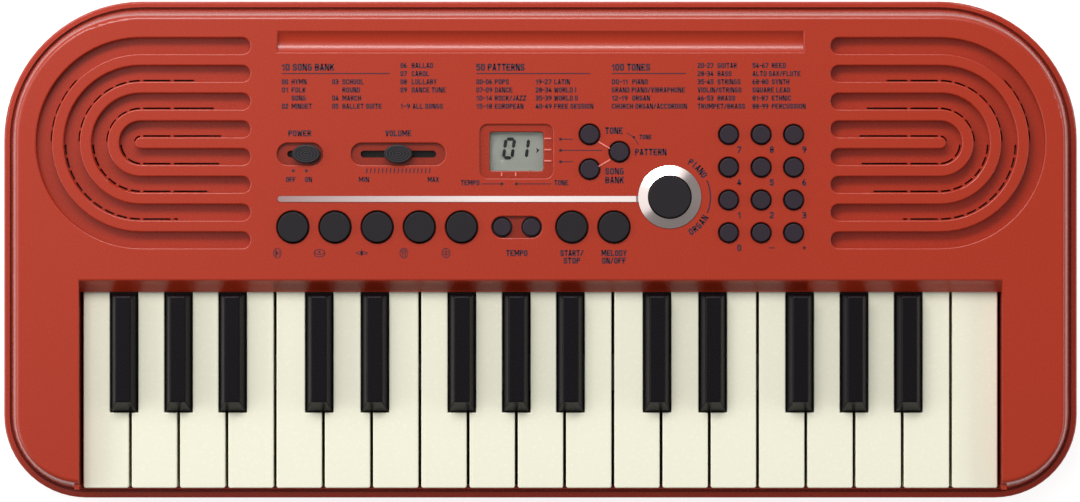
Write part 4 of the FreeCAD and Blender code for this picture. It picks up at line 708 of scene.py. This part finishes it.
class KEYBOARD_OT_lists(bpy.types.Operator):
    """Print the lists of songs, patterns and tones"""

    bl_idname = "keyboard.lists"
    bl_label = "Printed lists"

    def execute(self, context):
        sizes = context.scene.keyboard_print
        upper_y = LIST_TOP_Y + 2 * sizes.row_pitch
        blocks = (
            ("print_songs", "10 SONG BANK", -106.4, 44.4, 21.5,
             ((SONGS_LEFT, -106.4, 4.0, LIST_TOP_Y), (SONGS_RIGHT, -85.7, 4.2, LIST_TOP_Y),
              (SONGS_MORE, -57.6, 4.6, upper_y))),
            ("print_patterns", "50 PATTERNS", -26.4, 46.8, 19.8,
             ((STYLES_LEFT, -26.4, 7.6, LIST_TOP_Y), (STYLES_RIGHT, -2.0, 7.6, LIST_TOP_Y))),
            ("print_tones", "100 TONES", 29.3, 30.6, 15.8,
             ((TONES_LEFT, 29.3, 8.4, LIST_TOP_Y), (TONES_MIDDLE, 64.6, 8.2, upper_y),
              (TONES_RIGHT, 87.2, 7.9, upper_y))),
        )
        for name, heading, left, rule, width, columns in blocks:
            block = Lettering(sizes)
            block.words(heading, left * MM, HEADING_Y, sizes.heading, "LEFT", width * MM)
            under = HEADING_Y - 0.9 * sizes.heading
            block.line(left * MM, under, (left + rule) * MM, under, sizes.line_width)
            for rows, x, shift, top_y in columns:
                print_list(block, rows, x * MM, shift * MM, top_y)
            block.piece(name, print_ink())
        return {"FINISHED"}


class KEYBOARD_OT_switch_print(bpy.types.Operator):
    """Print the words, dots and ticks of the two slide switches"""

    bl_idname = "keyboard.switch_print"
    bl_label = "Slide switch print"

    def execute(self, context):
        sizes = context.scene.keyboard_print
        on_x, knob_y = middle("power_knob")
        volume_x, _ = middle("volume_knob")
        label_y = knob_y + 8.5 * MM
        dot_y = knob_y - 6.9 * MM
        word_y = knob_y - 10.5 * MM
        switch_travel = 5.4 * MM
        off_x = on_x - switch_travel
        block = Lettering(sizes)
        block.words("POWER", (on_x + off_x) / 2, label_y, sizes.switch_label, width=9.4 * MM)
        block.words("VOLUME", volume_x, label_y, sizes.switch_label, width=10.7 * MM)
        for x in (off_x, on_x):
            block.dot(x, dot_y, 0.62 * MM)
        block.words("OFF", off_x - 1.0 * MM, word_y, sizes.small, width=3.9 * MM)
        block.words("ON", on_x + 0.9 * MM, word_y, sizes.small, width=2.9 * MM)
        block.words("MIN", volume_x - 14.1 * MM, word_y, sizes.small, width=4.2 * MM)
        block.words("MAX", volume_x + 14.4 * MM, word_y, sizes.small, width=4.6 * MM)
        block.piece("print_switches", print_ink())
        ticks = 17
        reach = 12.9 * MM
        grown("print_volume_ticks", bar_row_tree(), print_ink(), "case",
              Count=ticks,
              First=(volume_x - reach, dot_y, PANEL_TOP + INK_HEIGHT / 2 - PANEL_SKIN / 4),
              Step=(2 * reach / (ticks - 1), 0.0, 0.0),
              Size=(0.45 * MM, 2.0 * MM, INK_HEIGHT),
              Turn=(0.0, 0.0, -0.12))
        return {"FINISHED"}


class KEYBOARD_OT_display_print(bpy.types.Operator):
    """Print the pointers round the display and beside the mode buttons"""

    bl_idname = "keyboard.display_print"
    bl_label = "Display and mode print"

    def execute(self, context):
        sizes = context.scene.keyboard_print
        x, y = middle("display_window")
        fine = 0.34 * MM
        hair = 0.28 * MM
        dot = 0.6 * MM
        block = Lettering(sizes)
        for drop, reach in ((-5.0, 5.0), (-0.4, 17.1), (4.3, 5.0)):
            dot_x = x + 18.1 * MM
            dot_y = y - drop * MM
            block.dot(dot_x, dot_y, dot)
            block.line(dot_x, dot_y, dot_x + reach * MM, dot_y, fine)
        low_y = y - 13.4 * MM
        for dot_x, end, words, word_x, align in (
                (-5.9, -14.4, "TEMPO", -15.2, "RIGHT"), (-0.1, 14.3, "TONE", 15.5, "LEFT")):
            block.dot(x + dot_x * MM, low_y, dot)
            block.line(x + end * MM, low_y, x + dot_x * MM, low_y, fine)
            block.words(words, x + word_x * MM, low_y + 0.5 * MM, sizes.small, align)
        low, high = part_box("mode_buttons")
        label = sizes.label
        word_left = 26.6 * MM
        block.words("TONE", word_left, high.y - 2.7 * MM, label, "LEFT", 7.2 * MM)
        block.words("PATTERN", high.x + 2.2 * MM, y - 0.3 * MM, label, "LEFT", 12.9 * MM)
        block.words("SONG", word_left, low.y + 3.4 * MM, label, "LEFT", 7.7 * MM)
        block.words("BANK", word_left, low.y - 0.2 * MM, label, "LEFT", 7.7 * MM)
        fork = (38.4 * MM, 46.2 * MM)
        block.dot(*fork, 0.5 * MM)
        block.line(35.5 * MM, 48.0 * MM, *fork, hair)
        block.line(*fork, 40.3 * MM, 43.2 * MM, hair)
        block.words("TONE", 40.7 * MM, 46.3 * MM, sizes.small * 0.9, "LEFT", 5.0 * MM)
        block.piece("print_display", print_ink())
        return {"FINISHED"}


def drum_icon(block, kind, x, y):
    """Prints one small generic percussion sign."""
    fine = 0.3 * MM
    if kind == "bass":
        block.loop(x, y, (1.5 * MM, 2.0 * MM), fine)
        block.line(x - 0.5 * MM, y - 1.3 * MM, x - 0.5 * MM, y + 1.3 * MM, 0.6 * MM)
        block.line(x - 0.5 * MM, y, x + 1.2 * MM, y + 0.6 * MM, fine)
        block.line(x - 0.5 * MM, y, x + 1.2 * MM, y - 0.6 * MM, fine)
    elif kind == "snare":
        block.loop(x, y + 0.45 * MM, (2.1 * MM, 1.0 * MM), fine)
        block.arc(x, y - 0.55 * MM, (2.1 * MM, 1.0 * MM), fine, 180.0, 360.0)
        block.dot(x, y + 0.45 * MM, 0.45 * MM)
        for side in (-1, 1):
            edge = x + side * 2.1 * MM
            block.line(edge, y - 0.55 * MM, edge, y + 0.45 * MM, fine)
    elif kind == "cymbal":
        block.loop(x, y, (2.3 * MM, 0.55 * MM), fine)
        block.dot(x, y, 0.6 * MM)
        block.line(x, y - 1.2 * MM, x, y + 1.5 * MM, fine)
    else:
        block.loop(x, y, (1.6 * MM, 2.0 * MM), fine)
        if kind == "conga":
            block.loop(x, y + 0.8 * MM, (1.0 * MM, 0.5 * MM), fine)
            for side in (-1, 1):
                edge = x + side * 0.5 * MM
                block.line(edge, y - 1.5 * MM, edge, y + 0.3 * MM, fine)
        else:
            block.line(x, y - 1.8 * MM, x, y + 1.8 * MM, fine)
            block.line(x - 1.4 * MM, y + 0.5 * MM, x + 1.4 * MM, y + 0.5 * MM, fine)
            block.line(x - 1.4 * MM, y - 0.5 * MM, x + 1.4 * MM, y - 0.5 * MM, fine)


class KEYBOARD_OT_button_print(bpy.types.Operator):
    """Print the signs and words under the pads and beside the number buttons"""

    bl_idname = "keyboard.button_print"
    bl_label = "Button print"

    def execute(self, context):
        sizes = context.scene.keyboard_print
        start_x, pad_y = middle("start_stop_button")
        melody_x, _ = middle("melody_button")
        pitch = melody_x - start_x
        first_pad_x = start_x - 114.75 * MM
        sign_shift = 6.4 * MM
        row_y = pad_y - 10.7 * MM
        block = Lettering(sizes)
        for i, kind in enumerate(("bass", "snare", "cymbal", "conga", "shaker")):
            drum_icon(block, kind, first_pad_x + i * pitch - sign_shift, row_y)
        down_x, _ = middle("tempo_down_button")
        up_x, _ = middle("tempo_up_button")
        block.words("TEMPO", (down_x + up_x) / 2, row_y, sizes.switch_label, width=8.8 * MM)
        second_y = row_y - 3.1 * MM
        for x, upper, lower, wide in (
                (start_x, "START/", "STOP", (9.4, 6.9)),
                (melody_x, "MELODY", "ON/OFF", (10.4, 9.9))):
            block.words(upper, x, row_y, sizes.switch_label, width=wide[0] * MM)
            block.words(lower, x, second_y, sizes.switch_label, width=wide[1] * MM)
        self.number_signs(block)
        block.piece("print_buttons", print_ink())
        return {"FINISHED"}

    def number_signs(self, block):
        """Prints a figure or sign beside each number button."""
        rows = ("0-+", "123", "456", "789")
        first_x, first_y = 77.4 * MM, 6.9 * MM
        pitch_x, pitch_y = 13.37, 13.47
        right, below = 4.35 * MM, 6.2 * MM
        stroke = 0.42 * MM
        for row, signs in enumerate(rows):
            for column, sign in enumerate(signs):
                x = first_x + column * pitch_x * MM + right
                y = first_y + row * pitch_y * MM - below
                if sign in "-+":
                    half = 1.15 * MM if sign == "-" else 0.8 * MM
                    block.line(x - half, y, x + half, y, stroke)
                    if sign == "+":
                        block.line(x, y - half, x, y + half, stroke)
                else:
                    block.words(sign, x, y, block.sizes.label)


class KEYBOARD_OT_ring_print(bpy.types.Operator):
    """Print the arc and the two curved words round the large button"""

    bl_idname = "keyboard.ring_print"
    bl_label = "Ring print"

    def execute(self, context):
        sizes = context.scene.keyboard_print
        centre = middle("large_button")
        radius = 16.75 * MM
        block = Lettering(sizes)
        block.arc(*centre, (radius, radius), 0.5 * MM, -23.0, 24.0)
        block.curved("PIANO", centre, radius, 58.8, 32.8, sizes.label, inward=False)
        block.curved("ORGAN", centre, radius, -58.3, -30.6, sizes.label, inward=True)
        block.piece("print_ring", print_ink())
        return {"FINISHED"}


SEGMENTS = {
    "a": ((0.0, 1.0), (1.0, 1.0)), "b": ((1.0, 1.0), (1.0, 0.5)), "c": ((1.0, 0.5), (1.0, 0.0)),
    "d": ((0.0, 0.0), (1.0, 0.0)), "e": ((0.0, 0.5), (0.0, 0.0)), "f": ((0.0, 1.0), (0.0, 0.5)),
    "g": ((0.0, 0.5), (1.0, 0.5)),
}
FIGURES = {"0": "abcdef", "1": "bc"}


class KEYBOARD_OT_display(bpy.types.Operator):
    """Make the display's figures and the ribs that point at them"""

    bl_idname = "keyboard.display"
    bl_label = "Display"

    def execute(self, context):
        x, y = middle("display_window")
        sizes = context.scene.keyboard_print
        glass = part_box("display_module")[1].z - 0.3 * MM
        block = Lettering(sizes, glass + 0.02 * MM, glass + 0.09 * MM)
        for figure, left in (("0", -5.35), ("1", 0.5)):
            for name in FIGURES[figure]:
                self.segment(block, SEGMENTS[name], x + left * MM, y - 2.6 * MM)
        tip = x + 9.5 * MM
        mid = y + 0.45 * MM
        arrow = [(tip - 1.4 * MM, mid - 1.15 * MM), (tip, mid), (tip - 1.4 * MM, mid + 1.15 * MM),
                 (tip - 1.1 * MM, mid)]
        prism(block.shape, arrow, block.low, block.high)
        block.piece("display_figures", ink("liquid_crystal_dark", linear("08090B")))
        recess = PANEL_TOP - 1.0 * MM
        tree = bar_row_tree()
        rib = 0.5 * MM
        # The ribs' pale pink is a painted highlight of their lit edges.
        pink = painted_highlight_plastic()
        grown("display_ribs_right", tree, pink, "case", "red_plastic",
              Count=3, First=(x + 12.9 * MM, y - 3.9 * MM, recess + rib / 2),
              Step=(0.0, 4.6 * MM, 0.0), Size=(2.9 * MM, 0.55 * MM, rib), Turn=(0.0, 0.0, 0.0))
        grown("display_ribs_front", tree, pink, "case", "red_plastic",
              Count=2, First=(x - 6.1 * MM, y - 9.4 * MM, recess + rib / 2),
              Step=(5.8 * MM, 0.0, 0.0), Size=(0.55 * MM, 1.4 * MM, rib), Turn=(0.0, 0.0, 0.0))
        return {"FINISHED"}

    def segment(self, block, ends, left, base):
        """One slanted bar with pointed ends."""
        wide, tall, slant = 3.5 * MM, 7.7 * MM, 0.14
        half, gap = 0.68 * MM, 0.12 * MM
        points = [Vector((left + px * wide + slant * py * tall, base + py * tall))
                  for px, py in ends]
        along = (points[1] - points[0]).normalized()
        side = Vector((-along.y, along.x)) * half
        start = points[0] + along * gap
        stop = points[1] - along * gap
        outline = [start, start + along * half - side, stop - along * half - side, stop,
                   stop - along * half + side, start + along * half + side]
        prism(block.shape, [(p.x, p.y) for p in outline], block.low, block.high)


class KEYBOARD_OT_ridges(bpy.types.Operator):
    """Make the thin raised ridges between the mode buttons"""

    bl_idname = "keyboard.ridges"
    bl_label = "Mode ridges"

    def execute(self, context):
        ridge_height = 0.3 * MM
        ridge_width = 0.55 * MM
        block = Lettering(context.scene.keyboard_print, PANEL_TOP - PANEL_SKIN,
                          PANEL_TOP + ridge_height)
        for x1, y1, x2, y2 in ((23.9, 44.3, 28.5, 41.6), (23.9, 34.2, 28.7, 37.0)):
            block.line(x1 * MM, y1 * MM, x2 * MM, y2 * MM, ridge_width)
        # The ridges' pale pink is a painted highlight of their lit edges.
        block.piece("mode_ridges", painted_highlight_plastic(), slot="red_plastic")
        return {"FINISHED"}


class KEYBOARD_OT_knob_ribs(bpy.types.Operator):
    """Make the oval grip ribs on the two knobs"""

    bl_idname = "keyboard.knob_ribs"
    bl_label = "Knob ribs"

    def execute(self, context):
        rib_height = 0.3 * MM
        rib_width = 0.4 * MM
        root = 0.05 * MM
        # The ribs' lighter black is a painted highlight of the light their edges catch.
        rib_highlight = moulded("black_abs_rib_painted_highlight", linear("363337"), 0.35, 0.3, 0.01, gloss=0.4)
        for knob in ("power_knob", "volume_knob"):
            low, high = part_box(knob)
            half_x = (high.x - low.x) / 2
            half_y = (high.y - low.y) / 2
            block = Lettering(context.scene.keyboard_print, high.z - root, high.z + rib_height)
            for share in (0.84, 0.62, 0.4, 0.18):
                block.loop(*middle(knob), (half_x * share, half_y * share), rib_width)
            block.piece(f"{knob}_ribs", rib_highlight, knob, "dark_plastic")
        return {"FINISHED"}


def cross_tree():
    """A node tree that puts a thin cross on every vertex of its mesh, for the painted shadows of the
    screws' cross drives.
    """
    tree = bpy.data.node_groups.new("screw_crosses", "GeometryNodeTree")
    sockets = tree.interface
    sockets.new_socket("Geometry", in_out="OUTPUT", socket_type="NodeSocketGeometry")
    sockets.new_socket("Geometry", in_out="INPUT", socket_type="NodeSocketGeometry")
    sockets.new_socket("Long", in_out="INPUT", socket_type="NodeSocketVector")
    sockets.new_socket("Wide", in_out="INPUT", socket_type="NodeSocketVector")
    sockets.new_socket("Material", in_out="INPUT", socket_type="NodeSocketMaterial")
    given = add(tree, "NodeGroupInput").outputs
    one = add(tree, "GeometryNodeMeshCube", {"Size": given["Long"]})
    other = add(tree, "GeometryNodeMeshCube", {"Size": given["Wide"]})
    cross = add(tree, "GeometryNodeJoinGeometry")
    tree.links.new(one.outputs["Mesh"], cross.inputs[0])
    tree.links.new(other.outputs["Mesh"], cross.inputs[0])
    copies = add(tree, "GeometryNodeInstanceOnPoints", {
        "Points": given["Geometry"], "Instance": cross.outputs[0]})
    real = add(tree, "GeometryNodeRealizeInstances", {"Geometry": copies.outputs["Instances"]})
    painted = add(tree, "GeometryNodeSetMaterial", {
        "Geometry": real.outputs["Geometry"], "Material": given["Material"]})
    add(tree, "NodeGroupOutput", {"Geometry": painted.outputs["Geometry"]})
    return tree


class KEYBOARD_OT_underside(bpy.types.Operator):
    """Make the screws' drives as thin crosses of painted shadow, and the grip ribs of the battery cover
    """

    bl_idname = "keyboard.underside"
    bl_label = "Underside"

    def execute(self, context):
        places = [(x * side, y) for x, y in ((202.5, -75.0), (205.0, 5.0), (185.0, 85.0),
                                             (70.0, 92.0)) for side in (1, -1)]
        head_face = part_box("screws")[0].z
        points = bpy.data.meshes.new("screw_points")
        points.from_pydata([(x * MM, y * MM, head_face) for x, y in places], [], [])
        # The drives are thin dark crosses on the screw heads: painted shadow of their recesses.
        black = ink("screw_drive_shadow", linear("1A1A1C"))
        grown("screw_drive_painted_shadows", cross_tree(), black, "case", "steel", base=points,
              Long=(2.9 * MM, 0.6 * MM, 0.06 * MM), Wide=(0.6 * MM, 2.9 * MM, 0.07 * MM))
        low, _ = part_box("battery_cover")
        x, _ = middle("battery_cover")
        grown("cover_grip", bar_row_tree(), case_plastic(), "battery_cover", "red_plastic",
              Count=7, First=(x, low.y + 8.0 * MM, low.z - 0.15 * MM), Step=(0.0, 2.0 * MM, 0.0),
              Size=(26.0 * MM, 0.9 * MM, 0.5 * MM), Turn=(0.0, 0.0, 0.0))
        return {"FINISHED"}


class KEYBOARD_OT_stage(bpy.types.Operator):
    """Make the floor, the camera and the light"""

    bl_idname = "keyboard.stage"
    bl_label = "Stage"

    def execute(self, context):
        settings = context.scene.keyboard_stage
        self.floor()
        self.camera(settings)
        self.light("key_light", (-0.2, 0.62, 0.75), (0.85, 0.22), settings.key_power)
        for name, side in (("left_light", -1), ("right_light", 1)):
            self.light(name, (side * 0.95, 0.05, 0.45), (0.9, 0.25), settings.side_power)
        self.sky(settings)
        context.scene.view_settings.view_transform = "Standard"
        return {"FINISHED"}

    def floor(self):
        """A pale floor that the camera sees as white away from the shadow."""
        mesh = bpy.data.meshes.new("floor")
        half = 4.0
        mesh.from_pydata([(-half, -half, 0), (half, -half, 0), (half, half, 0), (-half, half, 0)],
                         [], [(0, 1, 2, 3)])
        floor = bpy.data.objects.new("floor", mesh)
        bpy.context.scene.collection.objects.link(floor)
        material, tree, shader, place = start_material("pale_floor_paint")
        haze = add(tree, "ShaderNodeTexNoise", {"Vector": place, "Scale": 3.0})
        tone = add(tree, "ShaderNodeMix", {
            "Factor": haze.outputs["Fac"], "A": (0.44, 0.44, 0.44, 1), "B": (0.46, 0.46, 0.46, 1),
        }, data_type="RGBA")
        tree.links.new(tone.outputs["Result"], shader.inputs["Base Color"])
        shader.inputs["Roughness"].default_value = 0.7
        light = add(tree, "ShaderNodeLightPath").outputs
        seen = add(tree, "ShaderNodeMath", {0: light["Is Camera Ray"], 1: light["Is Glossy Ray"]},
                   operation="MAXIMUM")
        seen = add(tree, "ShaderNodeMath", {
            0: seen.outputs[0], 1: light["Is Transmission Ray"]}, operation="MAXIMUM")
        tree.links.new(seen.outputs[0], shader.inputs["Emission Strength"])
        shader.inputs["Emission Color"].default_value = (0.78, 0.78, 0.78, 1.0)
        mesh.materials.append(material)

    def camera(self, settings):
        """A long lens straight above the middle of the keyboard."""
        data = bpy.data.cameras.new("camera")
        camera = bpy.data.objects.new("camera", data)
        bpy.context.scene.collection.objects.link(camera)
        camera.location = (-0.0002, -0.0006, settings.camera_height)
        reach = settings.camera_height - settings.rim_height
        data.lens = data.sensor_width * reach / settings.view_width
        data.clip_end = 20.0
        bpy.context.scene.camera = camera

    def light(self, name, place, size, power):
        """A soft rectangular light that faces the keyboard."""
        data = bpy.data.lights.new(name, "AREA")
        data.shape = "RECTANGLE"
        data.size, data.size_y = size
        data.energy = power
        lamp = bpy.data.objects.new(name, data)
        lamp.location = place
        lamp.rotation_euler = (-Vector(place)).to_track_quat("-Z", "Y").to_euler()
        bpy.context.scene.collection.objects.link(lamp)

    def sky(self, settings):
        """A wide soft light behind and to the left, darker elsewhere, white where the camera sees it."""
        world = bpy.data.worlds.new("studio")
        bpy.context.scene.world = world
        world.use_nodes = True
        tree = world.node_tree
        back = tree.nodes["Background"]
        back.inputs["Color"].default_value = (1.0, 1.0, 1.0, 1.0)
        place = add(tree, "ShaderNodeTexCoord").outputs["Generated"]
        lean = add(tree, "ShaderNodeVectorMath", {0: place, 1: (-0.7, 0.7, 0.0)},
                   operation="DOT_PRODUCT")
        side = add(tree, "ShaderNodeMapRange", {
            "Value": lean.outputs["Value"], "From Min": 0.02, "From Max": 0.2,
        }, interpolation_type="SMOOTHSTEP")
        parts = add(tree, "ShaderNodeSeparateXYZ", {"Vector": place})
        raised = add(tree, "ShaderNodeMapRange", {
            "Value": parts.outputs["Z"], "From Min": 0.15, "From Max": 0.5,
        }, interpolation_type="SMOOTHSTEP")
        both = add(tree, "ShaderNodeMath", {0: side.outputs["Result"], 1: raised.outputs["Result"]},
                   operation="MULTIPLY")
        glow = add(tree, "ShaderNodeMapRange", {
            "Value": both.outputs[0], "To Min": settings.sky_dark, "To Max": settings.sky_bright})
        light = add(tree, "ShaderNodeLightPath").outputs
        level = add(tree, "ShaderNodeMix", {
            "Factor": light["Is Camera Ray"], "A": glow.outputs["Result"], "B": 1.0})
        tree.links.new(level.outputs["Result"], back.inputs["Strength"])


# ---------------------------------------------------------------- the add-on


OPERATORS = (
    KEYBOARD_OT_case,
    KEYBOARD_OT_keys,
    KEYBOARD_OT_controls,
    KEYBOARD_OT_electronics,
    KEYBOARD_OT_lists,
    KEYBOARD_OT_switch_print,
    KEYBOARD_OT_display_print,
    KEYBOARD_OT_button_print,
    KEYBOARD_OT_ring_print,
    KEYBOARD_OT_display,
    KEYBOARD_OT_ridges,
    KEYBOARD_OT_knob_ribs,
    KEYBOARD_OT_underside,
    KEYBOARD_OT_stage,
)


class KEYBOARD_PT_dressing(bpy.types.Panel):
    """Lists the steps that dress the keyboard"""

    bl_idname = "KEYBOARD_PT_dressing"
    bl_label = "Keyboard"
    bl_space_type = "VIEW_3D"
    bl_region_type = "UI"
    bl_category = "Keyboard"

    def draw(self, context):
        for name, group in GROUPS.items():
            settings = getattr(context.scene, name)
            for setting in group.__annotations__:
                self.layout.prop(settings, setting)
        for operator in OPERATORS:
            self.layout.operator(operator.bl_idname)


GROUPS = {
    "keyboard_plastics": KeyboardPlastics,
    "keyboard_print": KeyboardPrint,
    "keyboard_stage": KeyboardStage,
}


def register():
    """Adds the classes and the scene's settings."""
    for name, group in GROUPS.items():
        bpy.utils.register_class(group)
        setattr(bpy.types.Scene, name, bpy.props.PointerProperty(type=group))
    for operator in OPERATORS:
        bpy.utils.register_class(operator)
    bpy.utils.register_class(KEYBOARD_PT_dressing)


def unregister():
    """Takes the classes and the scene's settings away."""
    bpy.utils.unregister_class(KEYBOARD_PT_dressing)
    for operator in reversed(OPERATORS):
        bpy.utils.unregister_class(operator)
    for name, group in GROUPS.items():
        delattr(bpy.types.Scene, name)
        bpy.utils.unregister_class(group)


def main():
    """Registers the add-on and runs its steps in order."""
    register()
    for operator in OPERATORS:
        category, name = operator.bl_idname.split(".")
        getattr(getattr(bpy.ops, category), name)()


if __name__ == "__main__":
    main()
